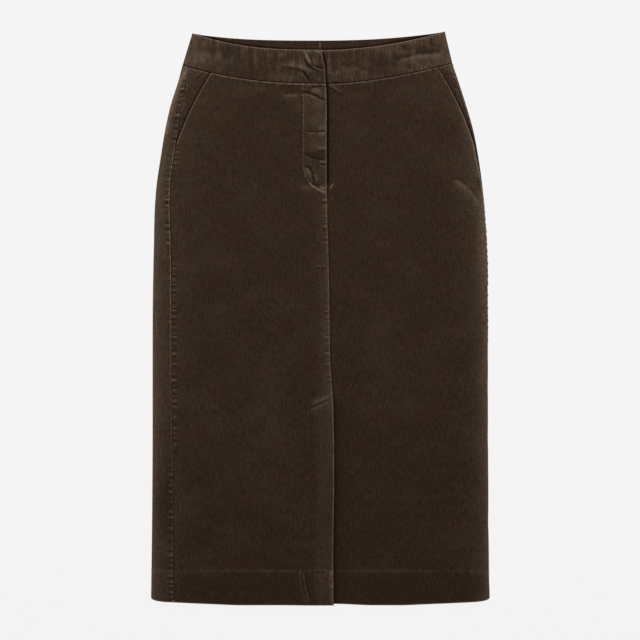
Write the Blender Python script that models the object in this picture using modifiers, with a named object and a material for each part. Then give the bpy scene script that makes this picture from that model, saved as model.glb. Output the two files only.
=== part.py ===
"""Needlecord pencil skirt, laid flat on a surface with its front uppermost.

Metres, +Z up. X runs across the skirt and Y from the hem up to the waist. The origin is the
middle of the outline, on the surface that the back lies on. Left and right are as seen from
above with the waist at the top.

The skirt is a tube of cloth pressed nearly flat. A place on it is given by a side (-1 left, 1
right), an arc, which is the length of cloth from that side's outermost line (positive on the
upper layer, negative on the lower one), and a height y.
"""

import bmesh
import bpy
import numpy as np

# ---------------------------------------------------------------- cloth and seams
CLOTH = 0.0012  # one layer of needlecord
TURNED = 2 * CLOTH  # where an edge is turned under, the wall is two layers
BAND = 0.0026  # waistband: cord, stiffening and facing
BAND_ROLL = 0.012  # length of band kept for the upper half of each roll, and for the lower half
SEAM_GAP = 0.0006  # between two pieces that are sewn edge to edge
LAYER_GAP = 0.0003  # between two pieces that lie on each other
HEM_Y = -0.4011  # lowest point of the hem
HEM_DEPTH = 0.046  # how far the hem is turned up
HEM_FLARE = (0.0067, 0.125, 1.2)  # the hem rises towards each side: rise, over this width, to this power
HEM_ROLL_RISE = (0.0040, 0.022, 2.0)  # and rises again round the roll
BACK_HEM_RISE = 0.0015  # the back hem stays hidden behind the front one
BACK_HEM_RAMP = 0.020

# ---------------------------------------------------------------- the laid tube, level by level
# y: height. left, right: outline. roll, width: height and breadth of the soft roll at each side.
# middle: height of the upper layer away from the rolls. centre: edge of the left front.
# seam_left, seam_right: arc of the side seams.
COLUMNS = "y left right roll width middle centre seam_left seam_right".split()
LEVELS = np.array(
    [
        (0.4010, -0.1788, 0.1746, 0.0076, 0.0050, 0.0062, 0.0040, 0.0095, 0.0125),
        (0.3760, -0.1865, 0.1802, 0.0080, 0.0056, 0.0062, 0.0050, 0.0100, 0.0125),
        (0.3530, -0.1933, 0.1862, 0.0086, 0.0066, 0.0062, 0.0084, 0.0111, 0.0108),
        (0.3343, -0.1982, 0.1925, 0.0092, 0.0076, 0.0062, 0.0094, 0.0130, 0.0070),
        (0.3063, -0.2068, 0.2015, 0.0098, 0.0092, 0.0056, 0.0099, 0.0171, 0.0062),
        (0.2643, -0.2172, 0.2136, 0.0106, 0.0110, 0.0050, 0.0099, 0.0204, 0.0066),
        (0.2223, -0.2242, 0.2218, 0.0112, 0.0124, 0.0048, 0.0099, 0.0208, 0.0062),
        (0.1860, -0.2290, 0.2270, 0.0115, 0.0134, 0.0048, 0.0100, 0.0218, 0.0042),
        (0.1660, -0.2308, 0.2288, 0.0116, 0.0138, 0.0048, 0.0101, 0.0230, 0.0025),
        (0.0963, -0.2331, 0.2326, 0.0118, 0.0146, 0.0048, 0.0118, 0.0268, -0.0006),
        (0.0263, -0.2343, 0.2337, 0.0120, 0.0152, 0.0048, 0.0135, 0.0287, -0.0028),
        (-0.1030, -0.2345, 0.2344, 0.0120, 0.0156, 0.0048, 0.0180, 0.0296, -0.0048),
        (-0.2537, -0.2355, 0.2351, 0.0118, 0.0148, 0.0049, 0.0190, 0.0318, -0.0060),
        (-0.3340, -0.2360, 0.2358, 0.0116, 0.0140, 0.0053, 0.0192, 0.0326, -0.0065),
        (-0.3620, -0.2364, 0.2362, 0.0115, 0.0132, 0.0062, 0.0192, 0.0333, -0.0066),
        (-0.4011, -0.2371, 0.2371, 0.0114, 0.0128, 0.0064, 0.0192, 0.0342, -0.0068),
    ]
)
UNDER_SHAPE = 0.95  # breadth of the lower half of each roll, in terms of its rise
FALL = 0.090  # the upper layer sinks from roll to middle over this length

# ---------------------------------------------------------------- the centre front
# The left front laps over the right one. It lies higher where it is open, at the fly and the slit.
FLY_END_Y = 0.1840
FLY_RAMP = 0.018
SLIT_TOP_Y = -0.1060
SLIT_RAMP = 0.040
OPEN_LAP = 0.0025  # lift of the left front where it is open
CLOSED_LAP = 0.0010  # and along the seam
OPEN_FLAT = 0.034  # width of the lifted strip where it is open
CLOSED_FLAT = 0.010
LAP_FALL = 0.040  # the lift fades out over this width
TURN_WIDTH = 0.030  # width turned under along the fly and the slit
TUCK = 0.006  # the right front runs this far under the left one
UNDERLAP = 0.030  # and this far at the slit and at the end of the waistband
TUCK_DROP = 0.0006  # it lies this much lower there
SHIELD_WIDTH = 0.034  # the fly shield, from the fly's edge to the left
SHIELD_REACH = 0.010  # and to the right, under the right front
SHIELD_TOP_Y = 0.3240

# ---------------------------------------------------------------- waist edges
# Each dips from the two side corners to the centre: y = centre + (corner - centre) * reach ** power.
EDGE_COLUMNS = "left_corner right_corner centre left_power right_power".split()
WAIST_EDGES = {
    "front_top": (0.3989, 0.4011, 0.3757, 2.6, 1.9),
    "back_top": (0.3989, 0.4011, 0.3885, 3.0, 2.3),
    "front_seam": (0.3546, 0.3574, 0.3288, 2.3, 1.65),
    "back_seam": (0.3546, 0.3574, 0.3425, 2.8, 2.3),
}

# ---------------------------------------------------------------- slanted pockets
POCKET_TOP = {-1: -0.1520, 1: 0.1635}  # x of the mouth at the waist seam
POCKET_END_Y = {-1: 0.2400, 1: 0.2420}  # y where the mouth meets the side seam
POCKET_BOW = {-1: 0.0038, 1: 0.0068}  # the mouth bows out this far, more where it turns down the roll
FACING_TUCK = 0.014  # the pocket facing runs this far under the front
FACING_GAP = 0.0006
FACING_STEP = 0.006  # the facing is level with the back at the seam and sinks over this width
FACING_DEPTH = CLOTH + FACING_GAP  # its outer face lies this far below the outer face of the front
FACING_LEVEL = 0.85  # and at the side seam it rises by this share of that

NEEDLECORD = (0.034, 0.0205, 0.0128, 1.0)
FACING_CORD = (0.040, 0.025, 0.0165, 1.0)


# ---------------------------------------------------------------- shape functions
def ease(t):
    """0 to 1 with soft ends."""
    t = np.clip(t, 0.0, 1.0)
    return t * t * (3.0 - 2.0 * t)


def between(start, end, share):
    return start + (end - start) * share


def level(y, column):
    """A column of LEVELS at height y, on a smooth curve through its rows."""
    rows = LEVELS[::-1]
    heights = rows[:, 0]
    values = rows[:, COLUMNS.index(column)]
    slopes = np.gradient(values, heights)
    y = np.clip(y, heights[0], heights[-1])
    i = np.clip(np.searchsorted(heights, y) - 1, 0, len(heights) - 2)
    step = heights[i + 1] - heights[i]
    t = (y - heights[i]) / step
    return (
        values[i] * (1 + 2 * t) * (1 - t) ** 2
        + slopes[i] * step * t * (1 - t) ** 2
        + values[i + 1] * t * t * (3 - 2 * t)
        + slopes[i + 1] * step * t * t * (t - 1)
    )


def openness(y):
    """1 where the centre front is open, at the fly and the slit, and 0 along the seam between them."""
    return ease((y - FLY_END_Y) / FLY_RAMP + 1) + ease((SLIT_TOP_Y - y) / SLIT_RAMP)


def underlap(y):
    """How far the right front runs under the left one: a seam allowance that widens below the slit's top."""
    return TUCK + (UNDERLAP - TUCK) * ease((SLIT_TOP_Y - y) / SLIT_RAMP - 0.3)


def outline(side, y):
    return level(y, "left") if side < 0 else level(y, "right")


def quarter(breadth, rise):
    """Length of a quarter of an ellipse."""
    return np.pi / 4 * (3 * (breadth + rise) - np.sqrt((3 * breadth + rise) * (breadth + 3 * rise)))


def lay(side, arc, y):
    """(x, z) of the cloth's outer face at an arc, before any lap at the centre."""
    half = level(y, "roll") / 2
    width = level(y, "width")
    under = UNDER_SHAPE * half
    upper, lower = quarter(width, half), quarter(under, half)
    turn = np.where(arc > 0, arc / upper, arc / lower)
    angle = np.clip(turn, -1, 1) * np.pi / 2
    breadth = np.where(arc > 0, width, under)
    beyond = np.maximum(np.where(arc > 0, arc - upper, -arc - lower), 0)
    inset = breadth * (1 - np.cos(angle)) + beyond
    sink = (2 * half - level(y, "middle")) * ease(beyond / FALL)
    z = half * (1 + np.sin(angle)) - np.where(arc > 0, sink, 0)
    return outline(side, y) - side * inset, z


def arc_at(side, x, y):
    """Arc of a point of the upper layer that lies at x."""
    half = level(y, "roll") / 2
    width = level(y, "width")
    upper = quarter(width, half)
    inset = side * (outline(side, y) - x)
    angle = np.arccos(np.clip(1 - inset / width, -1, 1))
    return np.where(inset < width, upper * angle / (np.pi / 2), upper + inset - width)


def waist_edge(name, x):
    """Height of a waist edge at x."""
    edge = dict(zip(EDGE_COLUMNS, WAIST_EDGES[name]))
    middle = level(edge["centre"], "centre") if name.startswith("front") else 0.0
    left_x, right_x = level(edge["left_corner"], "left"), level(edge["right_corner"], "right")
    left_reach = np.clip((x - middle) / (left_x - middle), 0, 1)
    right_reach = np.clip((x - middle) / (right_x - middle), 0, 1)
    return (
        edge["centre"]
        + (edge["left_corner"] - edge["centre"]) * left_reach ** edge["left_power"]
        + (edge["right_corner"] - edge["centre"]) * right_reach ** edge["right_power"]
    )


def hem_edge(arc):
    """Height of the hem at an arc: it curves up towards both sides, more so round the rolls."""
    edge = HEM_Y + BACK_HEM_RISE * ease(-arc / BACK_HEM_RAMP)
    for rise, width, power in (HEM_FLARE, HEM_ROLL_RISE):
        edge = edge + rise * np.clip(1 - np.abs(arc) / width, 0, 1) ** power
    return edge


def mouth_x(side, y):
    """x of the pocket mouth, a bowed slant from the waist seam to the side seam."""
    top_x, end_y = POCKET_TOP[side], POCKET_END_Y[side]
    top_y = waist_edge("front_seam", top_x)
    end_x, _ = lay(side, seam_arc(side, end_y), end_y)
    way = np.clip((top_y - y) / (top_y - end_y), 0, 1)
    return between(top_x, end_x, way) + side * POCKET_BOW[side] * 4 * way * (1 - way)


def seam_arc(side, y):
    return level(y, "seam_left") if side < 0 else level(y, "seam_right")


def front_outer_arc(side, y):
    """Arc of the outer edge of a front: the pocket mouth, and the side seam below it."""
    mouth = arc_at(side, mouth_x(side, y), y)
    return np.where(y > POCKET_END_Y[side], mouth, seam_arc(side, y)) + SEAM_GAP / 2


def centre_lift(x, y, side):
    """How far a front lies above the laid tube near the centre: the left one laps over the right one."""
    from_centre = side * (x - level(y, "centre"))
    if side > 0:
        return -TUCK_DROP * ease(1 - from_centre / LAP_FALL)
    lap = between(CLOSED_LAP, OPEN_LAP, openness(y))
    flat = between(CLOSED_FLAT, OPEN_FLAT, openness(y))
    return lap * ease(1 - (from_centre - flat) / LAP_FALL)


# ---------------------------------------------------------------- building
def clear_scene():
    for obj in list(bpy.data.objects):
        bpy.data.objects.remove(obj, do_unlink=True)


def material(name, colour):
    made = bpy.data.materials.new(name)
    made.use_nodes = True
    shader = made.node_tree.nodes["Principled BSDF"]
    shader.inputs["Base Color"].default_value = colour
    shader.inputs["Roughness"].default_value = 0.9
    shader.inputs["Metallic"].default_value = 0.0
    return made


def cloth(name, across, down, place, wall, made_of, collection, turned=None):
    """A piece of cloth: a grid laid by place(u, v), with Solidify giving it its wall on the inner side.

    across and down are the fractions of the piece where its columns and rows fall. turned(u, v) is
    true where the wall has both layers.
    """
    grid = bmesh.new()
    bmesh.ops.create_grid(grid, x_segments=len(across) - 1, y_segments=len(down) - 1, size=0.5)
    mesh = bpy.data.meshes.new(name)
    grid.to_mesh(mesh)
    grid.free()
    flat = np.array([v.co for v in mesh.vertices])
    column = np.rint((flat[:, 0] + 0.5) * (len(across) - 1)).astype(int)
    row = np.rint((0.5 - flat[:, 1]) * (len(down) - 1)).astype(int)
    u, v = np.asarray(across)[column], np.asarray(down)[row]
    mesh.vertices.foreach_set("co", np.stack(place(u, v), axis=1).ravel())
    mesh.update()
    highest = max(mesh.polygons, key=lambda p: p.center.z)
    if highest.normal.z < 0:
        mesh.flip_normals()
    mesh.materials.append(made_of)
    obj = bpy.data.objects.new(name, mesh)
    collection.objects.link(obj)
    solidify = obj.modifiers.new("wall", "SOLIDIFY")
    solidify.thickness = wall
    solidify.offset = -1
    if turned is not None:
        layers = obj.vertex_groups.new(name="layers")
        solidify.vertex_group = layers.name
        both = turned(u, v)
        for index in range(len(mesh.vertices)):
            layers.add([index], 1.0 if both[index] else CLOTH / wall, "REPLACE")
    return obj


def normal_of(place, u, v):
    """Upward normal of the surface place(u, v)."""
    step = 1e-4
    along_u = np.stack(place(u + step, v), axis=1) - np.stack(place(u - step, v), axis=1)
    along_v = np.stack(place(u, v + step), axis=1) - np.stack(place(u, v - step), axis=1)
    normal = np.cross(along_u, along_v)
    return normal * np.sign(normal[:, 2:3]) / np.linalg.norm(normal, axis=1, keepdims=True)


def spread(u, shares, stops):
    """Maps u to arcs: the stops lie at these shares of u, with straight steps between them."""
    arc = stops[0] + 0 * u
    for i in range(1, len(shares)):
        way = np.clip((u - shares[i - 1]) / (shares[i] - shares[i - 1]), 0, 1)
        arc = arc + (stops[i] - stops[i - 1]) * way
    return arc


def rows_at(heights, top, bottom):
    """Fractions down a piece for rows at these heights, with its two ends."""
    inside = [(top - y) / (top - bottom) for y in heights if bottom + 0.004 < y < top - 0.004]
    return np.array([0.0, *sorted(inside), 1.0])


SIDE_ROWS = [0.345, 0.328, 0.308, 0.286, 0.264, 0.241, 0.215, 0.186, 0.166, 0.146, 0.126, 0.096, 0.050, 0.0]
LOWER_ROWS = [-0.050, -0.106, -0.146, -0.200, -0.260, -0.315]
HEM_ROWS = [HEM_Y + HEM_DEPTH + 0.002, HEM_Y + HEM_DEPTH - 0.002, -0.3800]
ROW_HEIGHTS = SIDE_ROWS + LOWER_ROWS + HEM_ROWS


# ---------------------------------------------------------------- pieces
def front(name, side, made_of, collection):
    """One half of the front, from its side seam and pocket mouth to the centre."""
    top_y = waist_edge("front_seam", POCKET_TOP[side])
    end_y = hem_edge(seam_arc(side, HEM_Y))
    main = 1.0 if side < 0 else 0.88  # the rest of the right front's columns go under the left one

    def place(u, v):
        y = between(top_y, end_y, v)
        for _ in range(6):
            centre = level(y, "centre")
            stops = [front_outer_arc(side, y), arc_at(side, centre, y)]
            shares = [0.0, main]
            if side > 0:
                stops.append(arc_at(side, centre - underlap(y), y))
                shares.append(1.0)
            arc = spread(u, shares, stops)
            x, z = lay(side, arc, y)
            y = between(waist_edge("front_seam", x) - SEAM_GAP, hem_edge(arc), v)
        return x, y, z + centre_lift(x, y, side)

    def turned(u, v):
        x, y, _ = place(u, v)
        near_centre = (side < 0) & (x > level(y, "centre") - TURN_WIDTH)
        opening = (y > FLY_END_Y) | (y < SLIT_TOP_Y - SLIT_RAMP / 2)
        return (y < HEM_Y + HEM_DEPTH) | (near_centre & opening)

    if side < 0:
        across = np.concatenate([[0, 0.0016], np.linspace(0.05, 0.76, 9), [0.83, 0.88, 0.94, 1.0]])
    else:
        across = np.concatenate([[0, 0.0016], np.linspace(0.015, 0.13, 8), np.linspace(0.2, main, 7), [0.94, 1.0]])
    down = rows_at(ROW_HEIGHTS + [0.172, -0.124], top_y, end_y)
    return cloth(name, across, down, place, TURNED, made_of, collection, turned)


def back(made_of, collection):
    """The back: its edges come round both rolls to the side seams."""
    turn = 0.022  # length of cloth kept for the underside of each roll
    left_end, right_start = 0.3, 0.7

    def place(u, v):
        y = between(0.35, HEM_Y, v)
        for _ in range(6):
            from_left = spread(u, [0.0, left_end], [seam_arc(-1, y) - SEAM_GAP / 2, -turn + 0 * y])
            from_right = spread(u, [right_start, 1.0], [-turn + 0 * y, seam_arc(1, y) - SEAM_GAP / 2])
            left_x, left_z = lay(-1, from_left, y)
            right_x, right_z = lay(1, from_right, y)
            share = np.clip((u - left_end) / (right_start - left_end), 0, 1)
            x = np.where(u < right_start, between(left_x, right_x, share), right_x)
            z = np.where(u < right_start, left_z, right_z)
            inside = np.minimum(x - outline(-1, y), outline(1, y) - x)
            arc = np.where(u < left_end, from_left, np.where(u > right_start, from_right, -inside))
            above = (arc > 0) & ((u < left_end) | (u > right_start))
            top = np.where(above, waist_edge("front_seam", x), waist_edge("back_seam", x))
            y = between(top - SEAM_GAP, hem_edge(arc), v)
        return x, y, z

    def turned(u, v):
        return place(u, v)[1] < HEM_Y + HEM_DEPTH

    left_roll = [0, 0.007, 0.12, 0.22, 0.30, 0.36, 0.42, 0.48, 0.54, 0.60, 0.66, 0.72, 0.80, 1.0]
    right_roll = [0.0, 0.30, 0.44, 0.55, 0.66, 0.77, 0.88, 0.985, 1.0]
    flat = np.linspace(left_end, right_start, 12)
    across = np.concatenate([
        left_end * np.array(left_roll), flat[1:-1], right_start + (1 - right_start) * np.array(right_roll)
    ])
    down = rows_at(ROW_HEIGHTS, 0.35, HEM_Y)
    return cloth("back_panel", across, down, place, TURNED, made_of, collection, turned)


def waistband(name, side, made_of, collection):
    """Half of the waistband, from the centre front round the side to the seam at the centre back."""
    shares = [0.0, 0.38, 0.48, 0.56]  # centre front, start of the roll, the roll's outermost line, its end
    reach = 0.0 if side < 0 else UNDERLAP

    def place(u, v):
        y = between(0.40, 0.35, v)
        for _ in range(6):
            start = arc_at(side, level(y, "centre") - reach, y)
            arc = spread(u, shares, [start, BAND_ROLL, 0.0, -BAND_ROLL])
            x, z = lay(side, arc, y)
            x = between(x, side * SEAM_GAP / 2, np.clip((u - shares[3]) / (1 - shares[3]), 0, 1))
            above = u <= shares[2]
            top = np.where(above, waist_edge("front_top", x), waist_edge("back_top", x))
            bottom = np.where(above, waist_edge("front_seam", x), waist_edge("back_seam", x))
            y = between(top, bottom, v)
        return x, y, z + np.where(above, centre_lift(x, y, side), 0)

    across = [np.linspace(shares[i], shares[i + 1], n, endpoint=False) for i, n in enumerate((13, 6, 6))]
    across = np.concatenate([*across, np.linspace(shares[3], 1, 11)])
    return cloth(name, across, np.linspace(0, 1, 4), place, BAND, made_of, collection)


def pocket_facing(name, side, made_of, collection):
    """The cord that fills the pocket mouth: it meets the side seam and runs on under the front."""
    end_y = POCKET_END_Y[side] - 0.006
    step_shares = [0.0, 0.2, 0.6, 1.0]

    def shown(y):
        """Width of the facing that shows at height y, down to nearly nothing below the mouth."""
        return np.maximum(arc_at(side, mouth_x(side, y), y) - seam_arc(side, y), SEAM_GAP * 2)

    def place(u, v):
        y = between(0.355, end_y, v)
        for _ in range(6):
            seam = seam_arc(side, y)
            step = np.minimum(FACING_STEP, shown(y) / 2)
            stops = [seam + SEAM_GAP / 2, seam + step, seam + shown(y), seam + shown(y) + FACING_TUCK]
            x, z = lay(side, spread(u, step_shares, stops), y)
            y = between(waist_edge("front_seam", x) - SEAM_GAP, end_y, v)
        return x, y, z

    def sunk(u, v):
        outer = np.stack(place(u, v), axis=1)
        level_share = FACING_LEVEL * ease(shown(outer[:, 1]) / (2 * FACING_STEP) - 0.3)
        depth = FACING_DEPTH * (1 - level_share * (1 - ease(u / step_shares[1])))
        return tuple((outer - depth[:, None] * normal_of(place, u, v)).T)

    across = [0, 0.01, 0.1, 0.2, 0.33, 0.47, 0.6, 0.8, 1.0]
    down = rows_at(SIDE_ROWS, 0.355, end_y)
    return cloth(name, across, down, sunk, CLOTH, made_of, collection)


def fly_shield(made_of, collection):
    """The strip behind the fly. It lies on the back, under both fronts."""

    def place(u, v):
        y = between(SHIELD_TOP_Y, FLY_END_Y + 0.002, v)
        x = level(y, "centre") + between(-SHIELD_WIDTH, SHIELD_REACH, u)
        return x, y, CLOTH + LAYER_GAP + CLOTH + 0 * u

    return cloth("fly_shield", np.linspace(0, 1, 4), np.linspace(0, 1, 9), place, CLOTH, made_of, collection)


def main():
    clear_scene()
    skirt = bpy.data.collections.new("pencil_skirt")
    bpy.context.scene.collection.children.link(skirt)
    needlecord = material("needlecord", NEEDLECORD)
    facing_cord = material("facing_cord", FACING_CORD)
    back(needlecord, skirt)
    front("front_left", -1, needlecord, skirt)
    front("front_right", 1, needlecord, skirt)
    waistband("waistband_left", -1, needlecord, skirt)
    waistband("waistband_right", 1, needlecord, skirt)
    pocket_facing("pocket_facing_left", -1, facing_cord, skirt)
    pocket_facing("pocket_facing_right", 1, facing_cord, skirt)
    fly_shield(facing_cord, skirt)


main()
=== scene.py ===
# %% [markdown]
# # A needlecord pencil skirt, laid flat
# The skirt is a tube of dark brown needlecord, pressed nearly flat with its front uppermost.
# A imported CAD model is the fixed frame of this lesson: every piece of cloth here lies where its
# CAD solid lies, and adds what a solid leaves out, such as creases, puckers, stitches and pile.
# The cloth could be sculpted or simulated. It is laid by functions of real sizes instead, because
# a pressed garment hardly drapes, and every seam then meets its neighbour exactly.

import bmesh
import bpy
import numpy as np
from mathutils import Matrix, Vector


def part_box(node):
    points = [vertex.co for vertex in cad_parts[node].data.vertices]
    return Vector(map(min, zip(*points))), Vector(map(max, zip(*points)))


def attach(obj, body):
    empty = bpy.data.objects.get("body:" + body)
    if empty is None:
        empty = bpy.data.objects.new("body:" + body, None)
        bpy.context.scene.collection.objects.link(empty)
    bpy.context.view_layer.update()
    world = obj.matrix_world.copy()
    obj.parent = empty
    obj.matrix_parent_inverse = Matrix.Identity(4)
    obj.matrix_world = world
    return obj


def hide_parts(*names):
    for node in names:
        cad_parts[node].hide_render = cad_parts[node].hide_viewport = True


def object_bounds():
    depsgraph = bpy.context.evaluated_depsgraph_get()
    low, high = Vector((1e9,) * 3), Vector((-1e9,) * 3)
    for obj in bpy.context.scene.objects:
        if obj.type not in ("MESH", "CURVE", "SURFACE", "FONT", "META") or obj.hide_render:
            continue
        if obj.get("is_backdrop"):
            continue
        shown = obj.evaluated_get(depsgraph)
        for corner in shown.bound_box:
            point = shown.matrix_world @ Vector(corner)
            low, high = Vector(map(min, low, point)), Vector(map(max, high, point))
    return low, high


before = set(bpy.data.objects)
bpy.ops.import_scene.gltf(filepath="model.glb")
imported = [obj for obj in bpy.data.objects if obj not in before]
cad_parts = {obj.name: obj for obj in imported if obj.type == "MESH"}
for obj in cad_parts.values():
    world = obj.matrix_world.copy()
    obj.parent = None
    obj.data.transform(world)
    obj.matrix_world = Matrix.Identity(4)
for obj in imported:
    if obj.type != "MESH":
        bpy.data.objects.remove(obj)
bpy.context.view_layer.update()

MM = 0.001
print("CAD nodes:", ", ".join(sorted(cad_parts)))

# %% [markdown]
# ## The laid tube
# A maker measures a laid skirt from its centre line: how wide it is at the waist, hip and hem, how
# high the soft roll at each side stands, and where each seam runs. The table holds those
# measures, level by level, in metres. A smooth curve through its rows gives every height between.
# The outline could be traced as one curve, but a table keeps each measure where it can be read.

# %% Measures of the tube, level by level
CLOTH = 0.0012  # one layer of needlecord
BAND = 0.0026  # waistband: cord, stiffening and facing
SEAM_GAP = 0.0002
HEM_Y = -0.4011
HEM_DEPTH = 0.046
COLUMNS = "y left right roll width middle centre seam_left seam_right".split()
LEVELS = np.array(
    [
        (0.4010, -0.1784, 0.1754, 0.0076, 0.0050, 0.0062, 0.0014, 0.0095, 0.0125),
        (0.3760, -0.1861, 0.1812, 0.0080, 0.0056, 0.0062, 0.0024, 0.0100, 0.0125),
        (0.3530, -0.1931, 0.1872, 0.0086, 0.0066, 0.0062, 0.0072, 0.0111, 0.0108),
        (0.3343, -0.1978, 0.1935, 0.0092, 0.0076, 0.0062, 0.0083, 0.0130, 0.0070),
        (0.3063, -0.2068, 0.2025, 0.0098, 0.0092, 0.0056, 0.0097, 0.0171, 0.0062),
        (0.2643, -0.2166, 0.2146, 0.0106, 0.0110, 0.0050, 0.0098, 0.0204, 0.0066),
        (0.2223, -0.2235, 0.2225, 0.0112, 0.0124, 0.0048, 0.0098, 0.0208, 0.0062),
        (0.1860, -0.2288, 0.2275, 0.0115, 0.0134, 0.0048, 0.0100, 0.0218, 0.0042),
        (0.1660, -0.2305, 0.2293, 0.0116, 0.0138, 0.0048, 0.0101, 0.0230, 0.0025),
        (0.0963, -0.2326, 0.2334, 0.0118, 0.0146, 0.0048, 0.0120, 0.0268, -0.0006),
        (0.0263, -0.2339, 0.2347, 0.0120, 0.0152, 0.0048, 0.0136, 0.0287, -0.0028),
        (-0.0680, -0.2342, 0.2352, 0.0120, 0.0155, 0.0048, 0.0152, 0.0293, -0.0042),
        (-0.1030, -0.2342, 0.2352, 0.0120, 0.0156, 0.0048, 0.0179, 0.0296, -0.0048),
        (-0.2200, -0.2345, 0.2356, 0.0119, 0.0150, 0.0049, 0.0203, 0.0314, -0.0058),
        (-0.3340, -0.2356, 0.2366, 0.0116, 0.0140, 0.0053, 0.0191, 0.0326, -0.0065),
        (-0.3620, -0.2360, 0.2370, 0.0115, 0.0132, 0.0062, 0.0192, 0.0333, -0.0066),
        (-0.4011, -0.2366, 0.2379, 0.0114, 0.0128, 0.0064, 0.0194, 0.0342, -0.0068),
    ]
)


def ease(t):
    """0 to 1 with soft ends."""
    t = np.clip(t, 0.0, 1.0)
    return t * t * (3.0 - 2.0 * t)


def between(start, end, share):
    return start + (end - start) * share


def way_along(u, start, end):
    """How far u has gone from start to end, as a share from 0 to 1."""
    return np.clip((u - start) / (end - start), 0, 1)


def through(u, shares, stops):
    """A value that passes through its stops, one at each share of the way."""
    value = stops[0] + 0 * u
    for i in range(1, len(stops)):
        value = value + (stops[i] - stops[i - 1]) * way_along(u, shares[i - 1], shares[i])
    return value


def level(y, column):
    """A column of LEVELS at height y, on a smooth curve through its rows."""
    rows = LEVELS[::-1]
    heights = rows[:, 0]
    values = rows[:, COLUMNS.index(column)]
    slopes = np.gradient(values, heights)
    y = np.clip(y, heights[0], heights[-1])
    i = np.clip(np.searchsorted(heights, y) - 1, 0, len(heights) - 2)
    step = heights[i + 1] - heights[i]
    t = (y - heights[i]) / step
    return (
        values[i] * (1 + 2 * t) * (1 - t) ** 2
        + slopes[i] * step * t * (1 - t) ** 2
        + values[i + 1] * t * t * (3 - 2 * t)
        + slopes[i + 1] * step * t * t * (t - 1)
    )


def outline(side, y):
    return level(y, "left") if side < 0 else level(y, "right")


def seam_arc(side, y):
    return level(y, "seam_left") if side < 0 else level(y, "seam_right")


for height in (0.353, 0.2, -0.4):
    print(f"laid width at y {height}: {(outline(1, height) - outline(-1, height)) / MM:.0f} mm")

# %% [markdown]
# ## From cloth to place
# A point of the tube is named by the side that it is on (-1 left, 1 right), its arc, which is the
# length of cloth from that side's outermost line, and its height. The arc is positive on the upper
# layer and negative on the lower one. Each roll is two quarters of an ellipse.

# %% Lay an arc of cloth
UNDER_SHAPE = 0.95  # breadth of the lower half of each roll, in terms of its rise
FALL = 0.090  # the upper layer sinks from roll to middle over this length


def quarter(breadth, rise):
    """Length of a quarter of an ellipse."""
    return np.pi / 4 * (3 * (breadth + rise) - np.sqrt((3 * breadth + rise) * (breadth + 3 * rise)))


def lay(side, arc, y):
    """(x, z) of the cloth's outer face at an arc, before any lap at the centre."""
    half = level(y, "roll") / 2
    width = level(y, "width")
    under = UNDER_SHAPE * half
    upper, lower = quarter(width, half), quarter(under, half)
    turn = np.where(arc > 0, arc / upper, arc / lower)
    angle = np.clip(turn, -1, 1) * np.pi / 2
    breadth = np.where(arc > 0, width, under)
    beyond = np.maximum(np.where(arc > 0, arc - upper, -arc - lower), 0)
    inset = breadth * (1 - np.cos(angle)) + beyond
    sink = (2 * half - level(y, "middle")) * ease(beyond / FALL)
    z = half * (1 + np.sin(angle)) - np.where(arc > 0, sink, 0)
    return outline(side, y) - side * inset, z


def arc_at(side, x, y):
    """Arc of a point of the upper layer that lies at x."""
    half = level(y, "roll") / 2
    width = level(y, "width")
    upper = quarter(width, half)
    inset = side * (outline(side, y) - x)
    angle = np.arccos(np.clip(1 - inset / width, -1, 1))
    return np.where(inset < width, upper * angle / (np.pi / 2), upper + inset - width)


print(f"cloth from the left fold to x 0 at the hip: {arc_at(-1, 0.0, 0.0) / MM:.0f} mm")

# %% [markdown]
# ## Edges of the cloth
# The waist edges dip from the two side corners to the centre, the hem curves up a little towards
# the sides, and each pocket mouth is a bowed slant. The left front laps over the right one, and
# lies higher where it is open, at the fly above and at the slit below.

# %% Waist, hem and pocket mouths
EDGE_COLUMNS = "left_corner right_corner centre left_power right_power".split()
WAIST_EDGES = {
    "front_top": (0.3999, 0.4021, 0.3766, 2.6, 1.9),
    "back_top": (0.3999, 0.4023, 0.3902, 3.0, 2.2),
    "front_seam": (0.3546, 0.3574, 0.3288, 2.3, 1.65),
    "back_seam": (0.3546, 0.3574, 0.3425, 2.8, 2.3),
}
HEM_RISES = ((0.0067, 0.125, 1.2), (0.0040, 0.022, 2.0))  # rise, over this width, to this power
BACK_HEM_RISE = 0.0015  # the back hem stays hidden behind the front one
SLIT_HEM_RISE = 0.0018  # and the right front's, beside the slit, a little shorter than the left one's
POCKET_TOP = {-1: -0.1526, 1: 0.1645}
POCKET_END_Y = {-1: 0.2400, 1: 0.2420}
POCKET_BOW = {-1: 0.0038, 1: 0.0050}


def waist_edge(name, x):
    """Height of a waist edge at x."""
    edge = dict(zip(EDGE_COLUMNS, WAIST_EDGES[name]))
    middle = level(edge["centre"], "centre") if name.startswith("front") else 0.0
    left_x, right_x = level(edge["left_corner"], "left"), level(edge["right_corner"], "right")
    left_rise = way_along(x, middle, left_x) ** edge["left_power"]
    right_rise = way_along(x, middle, right_x) ** edge["right_power"]
    return (
        edge["centre"]
        + (edge["left_corner"] - edge["centre"]) * left_rise
        + (edge["right_corner"] - edge["centre"]) * right_rise
    )


def tube_edge(name, above, x):
    """Height of a waist edge at x, of the front where it is above and of the back where it isn't."""
    return np.where(above, waist_edge("front_" + name, x), waist_edge("back_" + name, x))


def hem_edge(arc):
    """Height of the hem at an arc."""
    edge = HEM_Y + BACK_HEM_RISE * ease(-arc / 0.020)
    for rise, width, power in HEM_RISES:
        edge = edge + rise * np.clip(1 - np.abs(arc) / width, 0, 1) ** power
    return edge


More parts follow.
